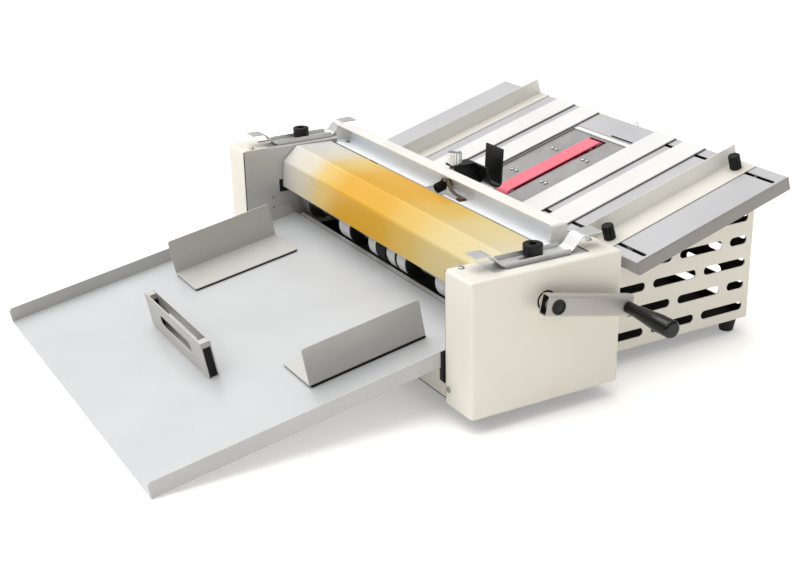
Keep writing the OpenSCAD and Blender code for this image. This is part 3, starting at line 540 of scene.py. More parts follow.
cream_paint = surface("cream_paint", [(0.71, 0.68, 0.60), (0.76, 0.73, 0.65)], SATIN,
                      grain=900, depth=0.02, Specular_IOR_Level=0.4)
fence_paint = surface("fence_paint", [(0.61, 0.585, 0.525), (0.66, 0.635, 0.575)], SATIN,
                      grain=900, depth=0.02)
# Painted light: a paler tone for the fence walls that face +X.
fence_wall_painted_light = surface("fence_wall_painted_light", [(0.84, 0.825, 0.77), (0.88, 0.865, 0.81)],
                           SATIN, grain=900, depth=0.02)
bar_paint = surface("bar_paint", [(0.745, 0.73, 0.68), (0.79, 0.775, 0.725)], SATIN,
                    grain=900, depth=0.02)
# Painted light: a pale cool tone for the faces inside the crossbar's channel and its lip.
bar_inside_painted_light = surface("bar_inside_painted_light", [(0.88, 0.91, 0.95), (0.92, 0.95, 0.985)], SATIN,
                     grain=900, depth=0.015)
strip_paint = surface("strip_paint", [(0.66, 0.655, 0.635), (0.71, 0.705, 0.685)],
                      SMOOTH_SATIN, grain=900, depth=0.015)
table_paint = surface("table_paint", [(0.44, 0.435, 0.445), (0.48, 0.475, 0.485)],
                      TABLE_SATIN, grain=1100, depth=0.025, Metallic=0.2)
# Painted shade: a darker tone for the table's faces that face +X.
table_side_painted_shade = surface("table_side_painted_shade", [(0.235, 0.222, 0.213), (0.27, 0.255, 0.245)],
                           TABLE_SATIN, grain=1100, depth=0.025)
tray_paint = surface("tray_paint", [(0.48, 0.487, 0.493), (0.52, 0.527, 0.533)], SATIN,
                     grain=1500, depth=0.012, Metallic=0.1)
# Painted shade: a darker tone for the tray's faces that face +X.
tray_side_painted_shade = surface("tray_side_painted_shade", [(0.45, 0.445, 0.44), (0.51, 0.505, 0.50)],
                          SATIN, grain=1500, depth=0.012)
guide_paint = surface("guide_paint", [(0.48, 0.465, 0.44), (0.53, 0.515, 0.49)], SATIN,
                      grain=1500, depth=0.012, Metallic=0.1)
arm_paint = surface("arm_paint", [(0.37, 0.35, 0.325), (0.42, 0.40, 0.375)], ARM_SATIN,
                    grain=1200, depth=0.012, Metallic=0.15)
plate_paint = surface("plate_paint", [(0.55, 0.545, 0.53), (0.59, 0.585, 0.57)],
                      SMOOTH_SATIN, grain=1200, depth=0.012, Metallic=0.2)
black_paint = surface("black_paint", [grey(0.008), grey(0.014)], (0.24, 0.36),
                      grain=1300, depth=0.02, Specular_IOR_Level=0.25)
# Painted shade: a near-black tone for inner faces and hollows that lie in shade.
inside_painted_shade = surface("inside_painted_shade", [grey(0.018, 0.001), grey(0.028, 0.001)], (0.6, 0.8),
                        grain=900, depth=0.02, Specular_IOR_Level=0.2)
print("paints", len(bpy.data.materials))

# %% [markdown]
# ### Bare metal
# Zinc-plated plates look like pale mottled steel. The latches are brushed along their
# length, so the same noise is stretched fifty times along one axis; the shafts are
# turned, so there the streaks run round. Screws are duller than the knob of the gate.

# %% Metals
zinc_plate = surface("zinc_plate", [grey(0.27, 0.006), grey(0.33, 0.006)], (0.36, 0.50),
                     grain=260, depth=0.004, patch=30, Metallic=0.3)
brushed_steel = surface("brushed_steel", [grey(0.58), grey(0.68)], (0.26, 0.36),
                        grain=1500, depth=0.002, streak=(1, 0.02, 1), patch=12, Metallic=0.5)
turned_steel = surface("turned_steel", [grey(0.55), grey(0.68)], (0.16, 0.28),
                       grain=1800, depth=0.003, streak=(1, 0.1, 0.1), patch=40, Metallic=1.0)
bright_zinc = surface("bright_zinc", [grey(0.62), grey(0.76)], (0.16, 0.28),
                      grain=900, depth=0.004, patch=60, Metallic=1.0)
screw_zinc = surface("screw_zinc", [grey(0.34), grey(0.46)], (0.20, 0.34),
                     grain=900, depth=0.004, patch=60, Metallic=0.9)
gear_steel = surface("gear_steel", [grey(0.16), grey(0.26)], (0.35, 0.55),
                     grain=700, depth=0.01, patch=50, Metallic=0.9)
bronze_pad = surface("bronze_pad", [(0.20, 0.105, 0.05), (0.27, 0.15, 0.075)], (0.35, 0.5),
                     grain=600, depth=0.006, Metallic=0.6)
strap_steel = surface("strap_steel", [(0.30, 0.29, 0.28), (0.42, 0.41, 0.40)], (0.26, 0.40),
                      grain=700, depth=0.006, patch=60, Metallic=0.9)
print("paints and metals", len(bpy.data.materials))

# %% [markdown]
# ### Rubber and plastic
# Rubber is nearly black with a dusty bloom that lifts its roughness. Moulded knobs are a
# satin black, the grip a glossy one, and the collars white nylon that lets a little
# light under its skin. The feed belt is a woven belt faced with coral rubber.

# %% Rubbers and plastics
black_rubber = surface("black_rubber", [grey(0.007), grey(0.017)], (0.55, 0.75),
                       grain=800, depth=0.03, Specular_IOR_Level=0.25)
magnet_rubber = surface("magnet_rubber", [grey(0.005), grey(0.010)], (0.55, 0.75),
                        grain=600, depth=0.02, Specular_IOR_Level=0.2)
satin_black = surface("satin_black", [grey(0.004), grey(0.009)], (0.26, 0.38),
                      grain=1600, depth=0.010, Specular_IOR_Level=0.22)
gloss_black = surface("gloss_black", [grey(0.003), grey(0.006)], (0.10, 0.16),
                      grain=500, depth=0.003, patch=26, Specular_IOR_Level=0.3)
white_nylon = surface("white_nylon", [(0.74, 0.75, 0.77), (0.82, 0.83, 0.85)], (0.35, 0.50),
                      grain=700, depth=0.01, Subsurface_Weight=0.08, Subsurface_Scale=0.002)
coral_belting = surface("coral_belting", [(0.76, 0.12, 0.17), (0.83, 0.165, 0.215)],
                        (0.42, 0.58), grain=1500, depth=0.025, streak=(1, 0.35, 1))
print("materials", len(bpy.data.materials))

# %% [markdown]
# ### The hood's tinted plastic
# The hood is bent from one sheet of frosted plastic whose tint fades: a pale warm grey
# at the left end, a strong amber in the middle, and a pale cream at the crank end. The
# tint follows X, its band leans a little with Y, and a noise drifts it to and fro, so
# that it looks cloudy. A share of the light passes just under the skin.

# %% Hood
HOOD_TINTS = [(0.00, (0.60, 0.575, 0.54)), (0.10, (0.62, 0.57, 0.46)),
              (0.22, (0.66, 0.46, 0.12)), (0.34, (0.64, 0.335, 0.010)),
              (0.50, (0.63, 0.335, 0.010)), (0.64, (0.62, 0.41, 0.085)),
              (0.80, (0.60, 0.49, 0.225)), (1.00, (0.60, 0.54, 0.37))]
TINT_LEAN, TINT_DRIFT = -0.03, 0.05  # shares of the hood's length
HOOD_FRONT_FOLDS = (100, 160)  # they lie in front of this y and above this z


def tinted_sheet(low, high):
    material, tree, shader = new_material("tinted_sheet")
    for socket, value in (("IOR", 1.49), ("Specular IOR Level", 0.35),
                          ("Subsurface Weight", 0.10), ("Subsurface Scale", 0.004)):
        shader.inputs[socket].default_value = value
    place = add_node(tree, "TexCoord")
    axes = add_node(tree, "SeparateXYZ")
    along = add_node(tree, "MapRange", {"From Min": low.x, "From Max": high.x})
    lean = add_node(tree, "MapRange", {"From Min": low.y, "From Max": high.y,
                                       "To Max": TINT_LEAN}, interpolation_type="SMOOTHSTEP")
    cloud = add_node(tree, "TexNoise", {"Scale": 9, "Detail": 2})
    drift = add_node(tree, "MapRange", {"To Min": -TINT_DRIFT, "To Max": TINT_DRIFT})
    leaned = add_node(tree, "Math")
    total = add_node(tree, "Math")
    frost = add_node(tree, "MapRange", {"To Min": 0.24, "To Max": 0.34})
    ramp = add_node(tree, "ValToRGB")
    ramp.color_ramp.interpolation = "EASE"
    while len(ramp.color_ramp.elements) < len(HOOD_TINTS):
        ramp.color_ramp.elements.new(0.5)
    for stop, (position, tone) in zip(ramp.color_ramp.elements, HOOD_TINTS):
        stop.position = position
        stop.color = (*tone, 1)
    wire(tree, place, "Object", axes, "Vector")
    wire(tree, place, "Object", cloud, "Vector")
    wire(tree, axes, "X", along, "Value")
    wire(tree, axes, "Y", lean, "Value")
    wire(tree, cloud, "Fac", drift, "Value")
    wire(tree, along, "Result", leaned, 0)
    wire(tree, lean, "Result", leaned, 1)
    wire(tree, leaned, "Value", total, 0)
    wire(tree, drift, "Result", total, 1)
    wire(tree, total, "Value", ramp, "Fac")
    wire(tree, ramp, "Color", shader, "Base Color")
    wire(tree, cloud, "Fac", frost, "Value")
    wire(tree, frost, "Result", shader, "Roughness")
    return material


hood = soften("hood", tinted_sheet(*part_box("hood")), width=0.6, folds=[
    (DESK, "X", lambda p: p.y < HOOD_FRONT_FOLDS[0] and p.z > HOOD_FRONT_FOLDS[1], 2.5)])
print("hood", len(hood.data.polygons), "faces")

# %% [markdown]
# ## The covers, base and side plates
# These are folded sheet. The imported shapes already have their slots, cut-outs and screw
# holes, so a softened copy is all they need: the paint rounds every cut edge. Their inner
# faces and the floor plate get a near-black tone of painted shade, so the air slots look
# black wherever the light does not pass straight through.

# %% Covers, base and plates
COVER_HEART = (327, 110, 110)  # a point inside the right cover

# Painted shade: inner faces of the covers and base, and the whole floor plate, get the near-black
# inside tone.
for node, side in (("side_cover_left", -1), ("side_cover_right", 1)):
    x, y, z = COVER_HEART
    heart = Vector((side * x, y, z))
    paint_light_or_shade(soften(node, cream_paint), inside_painted_shade,
                  lambda middle, normal: (heart - middle).dot(normal) > 0)
for node, inward in (("base_side_left", X), ("base_side_right", -X), ("base_rear", -Y),
                     ("base_front", Y)):
    paint_light_or_shade(soften(node, cream_paint, width=0.3), inside_painted_shade,
                  lambda middle, normal: normal.dot(inward) > 0.9)
soften("floor_plate", inside_painted_shade)
for node in ("side_frame_left", "side_frame_right"):
    soften(node, plate_paint, width=0.25)
for node in ("recess_pan", "roller_brackets", "tray_rail", "infeed_guide"):
    soften(node, zinc_plate, width=0.25)
print("housings done")

# %% [markdown]
# ## Infeed table, crossbar and fences
# Each of these is one sheet with its edges turned over in a press brake. The brake
# leaves a radius of about the sheet's thickness, which catches a line of light. The
# crossbar is a channel, open to the front; a thin lip closes its gap to the hood and
# leaves room for the hood's rear edge to swing.

# %% Table, crossbar and fences
TABLE_LONG, TABLE_HALF, TABLE_FOLD, FENCE_FOLD = 258.3, 335, 1.1, 1.0
BAR_INSIDE, BAR_REAR, BAR_FOLD = 289.5, 182, 3.2
BAR_HEART_Y, BAR_HEART_Z = 168, 205  # a line inside the channel
LIP_LOW, LIP_HIGH, LIP_END = (154.9, 190.1), (158.2, 191.4), 288.5
LIP_GAP = (-8, 38)  # room for the lock knob

table = soften("infeed_table", table_paint, width=0.3, folds=[
    (TABLE, "X", lambda p: near(p.z, 0) and (near(p.y, 0) or near(p.y, TABLE_LONG)), TABLE_FOLD),
    (TABLE, "Y", lambda p: near(p.z, 0) and near(abs(p.x), TABLE_HALF), TABLE_FOLD)])
# Painted shade: the table's faces that face +X get the darker tone.
paint_light_or_shade(table, table_side_painted_shade, lambda middle, normal: normal.x > 0.5)
crossbar = soften("crossbar", bar_paint, width=0.35, folds=[
    (DESK, "Y", lambda p: near(abs(p.x), BAR_INSIDE, 0.2) and p.y < BAR_REAR, BAR_FOLD)])
# Painted light: faces inside the channel get the pale cool tone.
paint_light_or_shade(crossbar, bar_inside_painted_light, lambda middle, normal: middle.y < BAR_REAR
              and Vector((0, BAR_HEART_Y - middle.y, BAR_HEART_Z - middle.z)).dot(normal) > 1)
lips = [bar("lip", DESK, (x0, *LIP_LOW), (x1, *LIP_HIGH))
        for x0, x1 in ((-LIP_END, LIP_GAP[0]), (LIP_GAP[1], LIP_END))]
# Painted light: the lip gets the same pale cool tone.
dress(break_edges(join("crossbar_front_lip", lips), 0.4), bar_inside_painted_light, "chassis")
for node in ("far_fence", "side_fence"):
    fence = soften(node, fence_paint, width=0.4, folds=[
        (TABLE, "Y", lambda p: near(p.z, 0, 0.5), FENCE_FOLD)])
    # Painted light: fence walls that face +X get the paler tone.
    paint_light_or_shade(fence, fence_wall_painted_light, lambda middle, normal: normal.x > 0.7)
print("table, crossbar and fences done")

# %% [markdown]
# ## Output tray
# The tray is one long sheet with upturned sides. Both sides of each fold are rounded,
# the outer one more. Its rear edge ends in a narrow lip in front of the rollers.

# %% Tray
TRAY_HALF, SHEET, TRAY_FOLD_OUT, TRAY_FOLD_IN = 295.5, 1.5, 2.0, 0.9
REAR_LIP_HALF, REAR_LIP = 289, ((470.6, -1.5), (479.5, -0.2))

tray = soften("output_tray", tray_paint, width=0.25, folds=[
    (TRAY, "Y", lambda p: near(p.z, 0, 0.2) and near(abs(p.x), TRAY_HALF), TRAY_FOLD_OUT),
    (TRAY, "Y", lambda p: near(p.z, SHEET, 0.2) and near(abs(p.x), TRAY_HALF - SHEET),
     TRAY_FOLD_IN)])
# Painted shade: the tray's faces that face +X get the darker tone.
paint_light_or_shade(tray, tray_side_painted_shade, lambda middle, normal: normal.x > 0.5)
rear_lip = bar("tray_rear_lip", TRAY, (-REAR_LIP_HALF, *REAR_LIP[0]), (REAR_LIP_HALF, *REAR_LIP[1]))
dress(break_edges(rear_lip, 0.3), plate_paint, "chassis")
print("tray", len(tray.data.polygons), "faces")

# %% [markdown]
# ## Paper guides and back stop
# The guides are angles of thin sheet standing on black magnet sheet that holds them to
# the tray. Where the wall turns into the foot the fold is generous. The magnet sheet
# ends a little behind the foot's front edge.

# %% Guides and stop
GUIDE_FOLD, GUIDE_FOLD_TOP, MAGNET_SET_BACK = 2.6, 8, 3

for node in ("guide_left", "guide_right"):
    low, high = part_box(node)
    wall = high.x if node == "guide_right" else low.x
    soften(node, guide_paint, width=0.4, folds=[
        (TRAY, "Y", lambda p: near(spot(TRAY, p.x, 0, 0).x, wall, 0.4 * MM)
         and p.z < GUIDE_FOLD_TOP, GUIDE_FOLD)])
for node in ("guide_magnet_left", "guide_magnet_right"):
    magnet = merged_copy(node)
    front = min(seen(TRAY, v.co).y for v in magnet.data.vertices)
    pick(magnet, "VERT", lambda v: seen(TRAY, v.co).y < front + 1)
    bpy.ops.transform.translate(value=TRAY.to_3x3() @ (MAGNET_SET_BACK * MM * Y))
    bpy.ops.object.mode_set(mode="OBJECT")
    dress(break_edges(magnet, 0.15), magnet_rubber, body_of_node(node), node)
soften("back_stop", guide_paint, width=0.3)
soften("stop_magnets", satin_black, width=0.4)
print("guides and stop done")

# %% [markdown]
# ## Glide strips on black bands
# Four white strips carry the sheets up the table. Each lies on a black band a little
# wider than itself, which shows as a dark line along its left side and front.

# %% Glide strips
STRIP_MIDDLES, STRIP_WIDE = (91, 154), 44
STRIP_FRONT, BAND_FRONT, STRIP_REAR = 6, 4.6, 256.3
STRIP_HIGH, BAND_HIGH, BAND_EDGE = 3.5, 1.3, 1.2

strips, black_bands = [], []
for middle in [side * m for side in (-1, 1) for m in STRIP_MIDDLES]:
    left, right = middle - STRIP_WIDE / 2, middle + STRIP_WIDE / 2
    strips.append(bar("strip", TABLE, (left, STRIP_FRONT, BAND_HIGH),
                      (right, STRIP_REAR, STRIP_HIGH)))
    black_bands.append(bar("black_band", TABLE, (left - BAND_EDGE, BAND_FRONT, 0),
                     (right, STRIP_REAR, BAND_HIGH)))
glide_strips = break_edges(join("glide_strips_white", strips), 0.6)
dress(glide_strips, strip_paint, "chassis", "glide_strips")
dress(join("glide_strip_black_band", black_bands), magnet_rubber, "chassis")
print("strips", len(strips))

# %% [markdown]
# ## Latches
# A latch is a brushed steel strip whose ends rise as finger tabs. A shallow trough is
# riveted under its middle, and both have a slot for the stud of the knob, so that the
# latch can slide back. Each sheet is cut before the pieces are joined.

# %% Latches
LATCH_X, KNOB_Y, LATCH_TOP, TAB_TOP = 321, 110, 197.8, 216.3
LATCH_HALF, LATCH_THICK, LATCH_BEND = 12.2, 1.4, 6
LATCH_LINE = [(21.5, TAB_TOP), (44, TAB_TOP), (61, LATCH_TOP), (159, LATCH_TOP),
              (175, TAB_TOP), (204, TAB_TOP)]
TROUGH_HALF, TROUGH_LOW, TROUGH_HIGH = 14, 195.8, 203.2
TROUGH_LINE = [(-TROUGH_HALF, TROUGH_HIGH), (-TROUGH_HALF, TROUGH_LOW),
               (TROUGH_HALF, TROUGH_LOW), (TROUGH_HALF, TROUGH_HIGH)]
TROUGH_REACH, SLOT_HALF, SLOT_FRONT, SLOT_REAR = 47, 4.3, 90, 114.5
RIVETS = [(x, y) for x in (-9, 9) for y in (80, 140)]
RIVET_RINGS = [(-1.5, 1.6), (0.5, 1.6), (0.8, 1.0)]

for side, where in ((-1, "left"), (1, "right")):
    middle = side * LATCH_X
    sideways = (DESK @ Matrix.Translation(Vector((middle, KNOB_Y, 0)) * MM)
                @ Matrix.Rotation(math.radians(90), 4, "Z"))
    strip = bent_strip("strip", DESK, LATCH_LINE, middle - LATCH_HALF, middle + LATCH_HALF,
                       -LATCH_THICK, LATCH_BEND)
    trough = bent_strip("trough", sideways, TROUGH_LINE, -TROUGH_REACH, TROUGH_REACH, 0.9, 1.2)
    rivets = [turned("rivet", RIVET_RINGS, spot(DESK, middle + x, y, LATCH_TOP), sides=24)
              for x, y in RIVETS]
    for sheet in (strip, trough):
        slot = bar("slot", DESK, (middle - SLOT_HALF, SLOT_FRONT, 190),
                   (middle + SLOT_HALF, SLOT_REAR, 200))
        cut_away(break_edges(sheet, 0.25), slot)
    latch = join("finished_latch_" + where, [strip, trough] + rivets)
    dress(latch, brushed_steel, "latch_" + where, "latch_" + where)
print("latches done")

# %% [markdown]
# ## Latch knobs
# Each latch is clamped by a black turned knob on a stud. It has a narrow waist groove
# near its foot and a hexagon socket in a shallow dish, so it could come off a lathe in
# one go and then be broached.

# %% Latch knobs
LATCH_KNOB_RINGS = [(-7.3, 3.6), (-6.9, 4), (0.3, 4), (0.3, 8), (3, 8), (3, 12), (3.5, 12.5),
                    (5.6, 12.5), (5.9, 12.1), (6.7, 12.1), (7, 12.5), (16.4, 12.5),
                    (17.2, 11.8), (17.5, 10.8), (17.5, 8.0), (16.9, 7.4), (16.9, 7.2)]
SOCKET_ACROSS, SOCKET_DEEP = 9, 6

for side, where in ((-1, "left"), (1, "right")):
    place = spot(DESK, side * LATCH_X, KNOB_Y, LATCH_TOP)
    knob = turned("latch_knob_turned_" + where, LATCH_KNOB_RINGS, place)
    dish = place + LATCH_KNOB_RINGS[-1][0] * MM * Z
    cut_away(knob, hexagon(dish, Z, SOCKET_ACROSS, SOCKET_DEEP))
    dress(knob, satin_black, "latch_knob_" + where, "latch_knob_" + where)
print("latch knobs done")

# %% [markdown]
# ## Fluted knobs
# The two fence knobs and the lock knob are fluted black plastic, the gate's knob is
# fluted chrome. All four are turned on their studs. The lock knob sits inside the
# crossbar, and its axis slopes down to the front.

# %% Fluted knobs
FENCE_KNOBS = {"fence_knob_front": 18, "fence_knob_rear": 237}  # way up the slope
FENCE_KNOB_X, FENCE_TOP = 258, 2.1
FENCE_KNOB_RINGS = [(-7, 2.2), (-6.8, 2.4), (0, 2.4), (0, 7.4), (0.6, 8.1), (18.9, 8.1),
                    (19.8, 7.3), (20, 6.6), (20, 5.2), (19.5, 4.8)]
GATE_KNOB_RINGS = [(-17, 2.8), (-16.8, 3), (0, 3), (0, 7), (2.5, 7), (2.5, 9.9), (3.2, 10.5),
                   (16.8, 10.5), (17.8, 9.7), (18, 9), (18, 7), (17.6, 6.6)]
GATE_KNOB_X, GATE_KNOB_Y, GATE_KNOB_Z = 13, 190, 223.8
LOCK_KNOB_RINGS = [(-4.5, 2.8), (-4.3, 3), (1.5, 3), (1.5, 4), (10, 4), (10, 6.7),
                   (10.6, 7.3), (23.2, 7.3), (24, 6.6), (24, 4.5), (23.5, 4.2)]
LOCK_X, LOCK_Y, LOCK_Z, LOCK_SLOPE = 14, 181.5, 200, math.radians(16)
LOCK = spot(DESK, LOCK_X, LOCK_Y, LOCK_Z)
LOCK_AXIS = Vector((0, -math.cos(LOCK_SLOPE), -math.sin(LOCK_SLOPE)))

for node, along in FENCE_KNOBS.items():
    knob = turned("turned_" + node, FENCE_KNOB_RINGS, spot(TABLE, FENCE_KNOB_X, along, FENCE_TOP),
                  UP_TABLE, flutes=(0.5, 19, 0.9))
    dress(break_edges(knob, 0.25), satin_black, body_of_node(node), node)
gate_knob = turned("turned_gate_knob", GATE_KNOB_RINGS,
                   spot(DESK, GATE_KNOB_X, GATE_KNOB_Y, GATE_KNOB_Z), sides=60,
                   flutes=(3, 17, 0.88))
dress(break_edges(gate_knob, 0.25), bright_zinc, "gate_knob", "gate_knob")
lock_knob = turned("turned_lock_knob", LOCK_KNOB_RINGS, LOCK, LOCK_AXIS,
                   flutes=(10.5, 23.5, 0.9))
dress(break_edges(lock_knob, 0.25), satin_black, "lock_knob", "lock_knob")
print("fluted knobs done")

# %% [markdown]
# ## Gate
# The gate holds the sheets back over the feed belt. A narrow lead comes over the
# crossbar and bends down; a wider flag goes on from there, dips in a round scoop and
# stands up again. A cheek plate with a tapered gusset stiffens the lead, and a pin
# beside the knob keeps the gate from turning.

# %% Gate
GATE_LINE = [(184, 223.5), (221, 223.5), (229, 196), (243, 192), (246, 245)]
GATE_THICK, LEAD_BEND, FLAG_BEND = 3, 2, 6
LEAD_LEFT, LEAD_RIGHT, FLAG_LEFT, FLAG_RIGHT = -2, 22, 7, 49
CHEEK = (20, 184, 204), (22, 230, 222)
GUSSET = (20, 199, 193), (22, 230, 204)
REAR_CUT = (21, 221, 223), (0, 28.5, 8)  # a point and a direction; it follows the lead
FRONT_CUT = (21, 199, 204), (0, -11, -23)
PIN_X, PIN_RINGS = 3, [(206.5, 1.3), (206.7, 1.5), (222, 1.5)]
BORE_RINGS = [(200, 3.05), (240, 3.05)]

lead = bent_strip("lead", DESK, GATE_LINE[:3], LEAD_LEFT, LEAD_RIGHT, -GATE_THICK, LEAD_BEND)
flag = bent_strip("flag", DESK, GATE_LINE[1:], FLAG_LEFT, FLAG_RIGHT, -GATE_THICK, FLAG_BEND)
cheek = cut_corner(bar("cheek", DESK, *CHEEK), DESK, *REAR_CUT)
gusset = cut_corner(bar("gusset", DESK, *GUSSET), DESK, *REAR_CUT)
cut_corner(gusset, DESK, *FRONT_CUT)
pin = turned("pin", PIN_RINGS, spot(DESK, PIN_X, GATE_KNOB_Y, 0), sides=24)
bore = turned("bore", BORE_RINGS, spot(DESK, GATE_KNOB_X, GATE_KNOB_Y, 0), sides=32)
cut_away(break_edges(lead, 0.35), bore)
for sheet in (flag, cheek, gusset):
    break_edges(sheet, 0.35)
gate = join("finished_gate_bracket", [lead, flag, cheek, gusset, pin])
dress(gate, black_paint, "feed_gate", "gate_bracket")
print("gate", len(gate.data.polygons), "faces")

# %% [markdown]
# ### Behind the openings
# Whoever looks through a slot or past the belt sees darkness, as the machine's inside is
# unlit. Thin black sheets paint that shade in: under the belt, under the two table slots,
# behind the side plates' front edges, beside the infeed mouth and in a short slit behind
# the recess. A slim white rim frames the rear of the recess.

# %% Painted shade sheets
# lowest and highest corner of each piece
BELT_PAN = (-60, 4, -27), (60, 218, -26)
SLIT = (13, 213.6, -0.4), (62, 216.4, 0.6)
GAP_SHIELD = (-289.4, 205, 126), (-288.6, 262, 153)
REAR_RIM = (-66.5, 204, -2.9), (66.5, 211.6, -0.6)
SLOT_PAN_X, SLOT_PAN_Z, BEFORE_SLOT, BEHIND_SLOT = (80, 333), (-13, -12), 8, 20
SEAM_X, SEAM_Y, SEAM_Z = (297.7, 299.6), (0.5, 1.6), (24, 195)

shade_sheets = [bar("belt_pan", TABLE, *BELT_PAN)]
for along in FENCE_KNOBS.values():
    shade_sheets.append(bar("slot_pan", TABLE, (SLOT_PAN_X[0], along - BEFORE_SLOT, SLOT_PAN_Z[0]),
                    (SLOT_PAN_X[1], along + BEHIND_SLOT, SLOT_PAN_Z[1])))
for side in (-1, 1):
    x0, x1 = sorted(side * x for x in SEAM_X)
    shade_sheets.append(bar("seam", DESK, (x0, SEAM_Y[0], SEAM_Z[0]), (x1, SEAM_Y[1], SEAM_Z[1])))
shade_sheets += [bar("slit", TABLE, *SLIT), bar("gap_shield", DESK, *GAP_SHIELD)]
dress(join("painted_shade_sheets", shade_sheets), inside_painted_shade, "chassis")
rim = bar("recess_rear_rim", TABLE, *REAR_RIM)
dress(break_edges(rim, 0.6), strip_paint, "chassis")
print("linings", len(shade_sheets))

# %% [markdown]
# ### The lock's strap
# A spring steel strap hooks over the neck of the lock knob, drops to the bar's bottom
# and ends on a small bronze pad. It is one bent strip, like the latches, turned so that
# it runs across the machine. A bright washer closes the stud's hole.

# %% Strap
STRAP_LINE = [(-5, 203), (-2, 207.5), (7, 208), (12, 203), (19, 195), (30, 191.8), (52, 191.3)]
STRAP_REAR, STRAP_FRONT, STRAP_THICK, STRAP_BEND = -175, -169, 1.2, 1.6
STRAP_PAD = (55, 166, 186.5), (68, 176, 190)
WASHER_RINGS = [(0.1, 6.2), (0.1, 9), (1.5, 9), (1.5, 6.2)]

crossways = (DESK @ Matrix.Translation(Vector((LOCK_X, 0, 0)) * MM)
             @ Matrix.Rotation(math.radians(-90), 4, "Z"))
strap = bent_strip("lock_strap", crossways, STRAP_LINE, STRAP_REAR, STRAP_FRONT, -STRAP_THICK,
                   STRAP_BEND)
dress(break_edges(strap, 0.25), strap_steel, "chassis")
pad = bar("strap_pad", DESK, *STRAP_PAD)
dress(break_edges(pad, 0.5), bronze_pad, "chassis")
washer = turned("lock_washer", WASHER_RINGS, LOCK, LOCK_AXIS)
dress(washer, bright_zinc, "chassis")
print("strap, pad and washer done")

# %% [markdown]
# ## Crank
# The arm is a rounded tube with its inner end open; its inside gets a near-black tone of
# painted shade. The shaft's end shows as a black ring and cap. A flat cream ring guards
# the hole in the cover. The grip is a long tapered handle, turned and polished.

# %% Crank arm and grip
ARM_MIDDLE_X, ARM_MIDDLE_Z = 375.5, 0.8
COVER_FACE, CAP_X = 358, 383
RING_RINGS = [(-0.5, 8.4), (-0.5, 10.4), (1.2, 10.4), (1.6, 10), (1.6, 8.4)]
CAP_RINGS = [(-16, 3.6), (-15.6, 4), (0, 4), (0, 9), (0.3, 9.5), (1.4, 9.5), (1.9, 9),
             (1.9, 7.2), (1.0, 6.8), (1.0, 5.2), (1.5, 4.8)]


def is_inside_arm(middle, normal):
    """True for faces of the tube that look at its own middle line."""
    place = seen(CRANK, DESK @ (middle * MM))
    look = CRANK.to_3x3().inverted() @ normal
    to_middle = Vector((ARM_MIDDLE_X - place.x, 0, ARM_MIDDLE_Z - place.z))
    return abs(look.y) < 0.5 and to_middle.dot(look) > 2


# Painted shade: the faces inside the arm's tube get the near-black inside tone.
paint_light_or_shade(soften("crank_arm", arm_paint, width=0.3), inside_painted_shade, is_inside_arm)
shaft_ring = turned("shaft_ring", RING_RINGS, spot(DESK, COVER_FACE, SHAFT_Y, SHAFT_Z), X)
dress(shaft_ring, cream_paint, "chassis")
cap = turned("crank_cap", CAP_RINGS, spot(CRANK, CAP_X, 0, 0), X)
dress(cap, satin_black, "crank", "crank_screw")
soften("grip", gloss_black, width=0.4)
print("crank done")

# %% [markdown]
# ## Shafts, tyres, belts and small fittings
# Tool shafts are bright turned steel with white nylon collars between thin rubber
# tyres. These parts are packed at full detail, so they are only softened: more where
# rubber is moulded, less where a tool has left a crisp edge. The tray's two black hooks
# are sawn from bars, along the tray's slope at the top and slanting at the front.

# %% Tools and small fittings
for nodes, finish, width in (
        (("upper_shaft", "lower_shaft", "feed_roller", "idler_roller", "tie_rod",
          "bearing_bushes"), turned_steel, 0.3),
        (("upper_collars", "lower_collars"), white_nylon, 0.5),
        (("feed_belt",), coral_belting, 0.4),
        (("drive_belt",), black_rubber, 0.25),
        (("hood_lugs",), satin_black, 0.35),
        (("hood_pads",), black_rubber, 0.35),
        (("frame_bolts", "table_eye"), bright_zinc, 0.25)):
    for node in nodes:
        soften(node, finish, width=width)
for node in ("upper_tyres", "lower_tyres"):
    soften(node, black_rubber, width=0.7, steps=3)
for node in ("upper_gear", "lower_gear"):
    soften(node, gear_steel, width=0.2, steps=1)
soften("rubber_feet", black_rubber, width=1.5, steps=4)

HOOK_X, HOOK_HALF, HOOK_FRONT, HOOK_REAR, HOOK_LOW, HOOK_HIGH = 294.8, 2, -5, 6, 47, 90
NOSE_CUT = (0, HOOK_FRONT, 52), (0, -1, -1)  # a point and a direction
TRAY_CUT = (0, 370, 22), (0, 0, 1)
hooks = []
for middle in (-HOOK_X, HOOK_X):
    hook = bar("hook", DESK, (middle - HOOK_HALF, HOOK_FRONT, HOOK_LOW),
               (middle + HOOK_HALF, HOOK_REAR, HOOK_HIGH))
    hooks.append(cut_corner(cut_corner(hook, DESK, *NOSE_CUT), TRAY, *TRAY_CUT))
dress(break_edges(join("finished_tray_hooks", hooks), 0.4), black_paint, "chassis", "tray_hooks")
print("small fittings done")

# %% [markdown]
# ## Screws
# Pan-head screws hold the covers and the crossbar, and smaller ones the plate under the
# feed belt. They are packed as plain domed heads, so each head only gets its cross
# recess, cut where the head's top is.

# %% Screws
COVER_SCREW_X, COVER_SCREW_Y, LOW_SCREW_Z = 306.5, (18, 204), 42.5
COVER_TOP, COVER_LONG, PAN_HEAD = 197, 218, 1.9
BAR_SCREW_X, BAR_SCREW_Y, BAR_FLOOR = 277, 170.5, 191.5
PLATE_SCREW_X, PLATE_SCREW_WAYS = (-44, -34, 32, 42), (69, 145)
PLATE_TOP, PLATE_HEAD = -3, 1.4

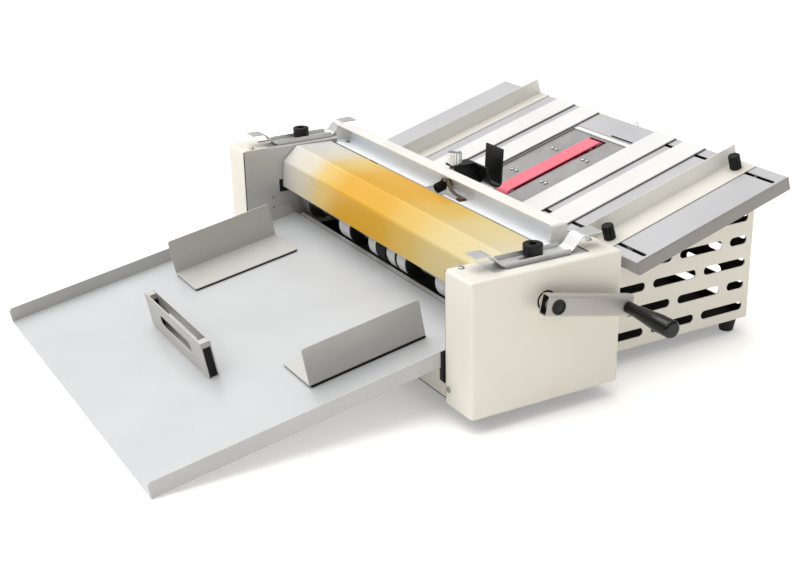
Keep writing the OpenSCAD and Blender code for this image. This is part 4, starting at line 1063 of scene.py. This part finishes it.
tops = []
for side in (-1, 1):
    x = side * COVER_SCREW_X
    tops += [(spot(DESK, x, y, COVER_TOP + PAN_HEAD), Z) for y in COVER_SCREW_Y]
    tops += [(spot(DESK, x, -PAN_HEAD, LOW_SCREW_Z), -Y),
             (spot(DESK, x, COVER_LONG + PAN_HEAD, LOW_SCREW_Z), Y),
             (spot(DESK, side * BAR_SCREW_X, BAR_SCREW_Y, BAR_FLOOR + PAN_HEAD), Z)]
screws = cut_away(merged_copy("pan_screws"), cross(tops, size=2.6, depth=0.9))
dress(screws, screw_zinc, body_of_node("pan_screws"), "pan_screws")

tops = [(spot(TABLE, x, along, PLATE_TOP + PLATE_HEAD), UP_TABLE)
        for x in PLATE_SCREW_X for along in PLATE_SCREW_WAYS]
screws = cut_away(merged_copy("plate_screws"), cross(tops, size=2.0, depth=0.7))
dress(screws, screw_zinc, body_of_node("plate_screws"), "plate_screws")
print("screws done")

# %% [markdown]
# ## Studio
# The floor and the background are plain and pale, as in a catalogue picture. A very
# wide soft sun stands overhead and a weak one shines from the left, so upright faces
# are lit mostly by the white floor and come out darker and warmer than the tops. The
# sky brightens upwards, and the floor glows a little to keep its shadow faint.

# %% Floor and light
SKY_LOW, SKY_HIGH, FLOOR_GLOW = 0.10, 0.90, 0.30
FLOOR_SIZE, FLOOR_DROP = 40, 0.0005  # metres
# name, way to the light, strength, width in degrees
SUNS = [("soft_sun", (-0.25, -0.35, 1), 2.5, 75), ("left_window", (-0.8, -0.05, 0.6), 0.25, 30)]

start_clean()
bpy.ops.mesh.primitive_plane_add(size=FLOOR_SIZE, location=(0, 0, -FLOOR_DROP))
floor = name_it("studio_floor")
floor.data.materials.append(surface(
    "studio_floor", [(0.91, 0.89, 0.85), (0.92, 0.90, 0.86)], (0.7, 0.8), grain=40,
    depth=0.001, Emission_Color=(1, 1, 1, 1), Emission_Strength=FLOOR_GLOW))

for name, source, power, wide in SUNS:
    lamp_data = bpy.data.lights.new(name, "SUN")
    lamp_data.energy = power
    lamp_data.angle = math.radians(wide)
    lamp = bpy.data.objects.new(name, lamp_data)
    lamp.rotation_euler = (-Vector(source)).to_track_quat("-Z", "Y").to_euler()
    bpy.context.scene.collection.objects.link(lamp)

world = bpy.data.worlds.new("studio")
world.use_nodes = True
tree = world.node_tree
background = tree.nodes["Background"]
background.inputs["Color"].default_value = (1, 1, 1, 1)
way = add_node(tree, "TexCoord")
height = add_node(tree, "SeparateXYZ")
dome = add_node(tree, "MapRange", {"To Min": SKY_LOW, "To Max": SKY_HIGH})
wire(tree, way, "Generated", height, "Vector")
wire(tree, height, "Z", dome, "Value")
wire(tree, dome, "Result", background, "Strength")
bpy.context.scene.world = world
bpy.context.scene.view_settings.view_transform = "Standard"
print("lamps", len(SUNS))

# %% Finish
bpy.context.view_layer.update()
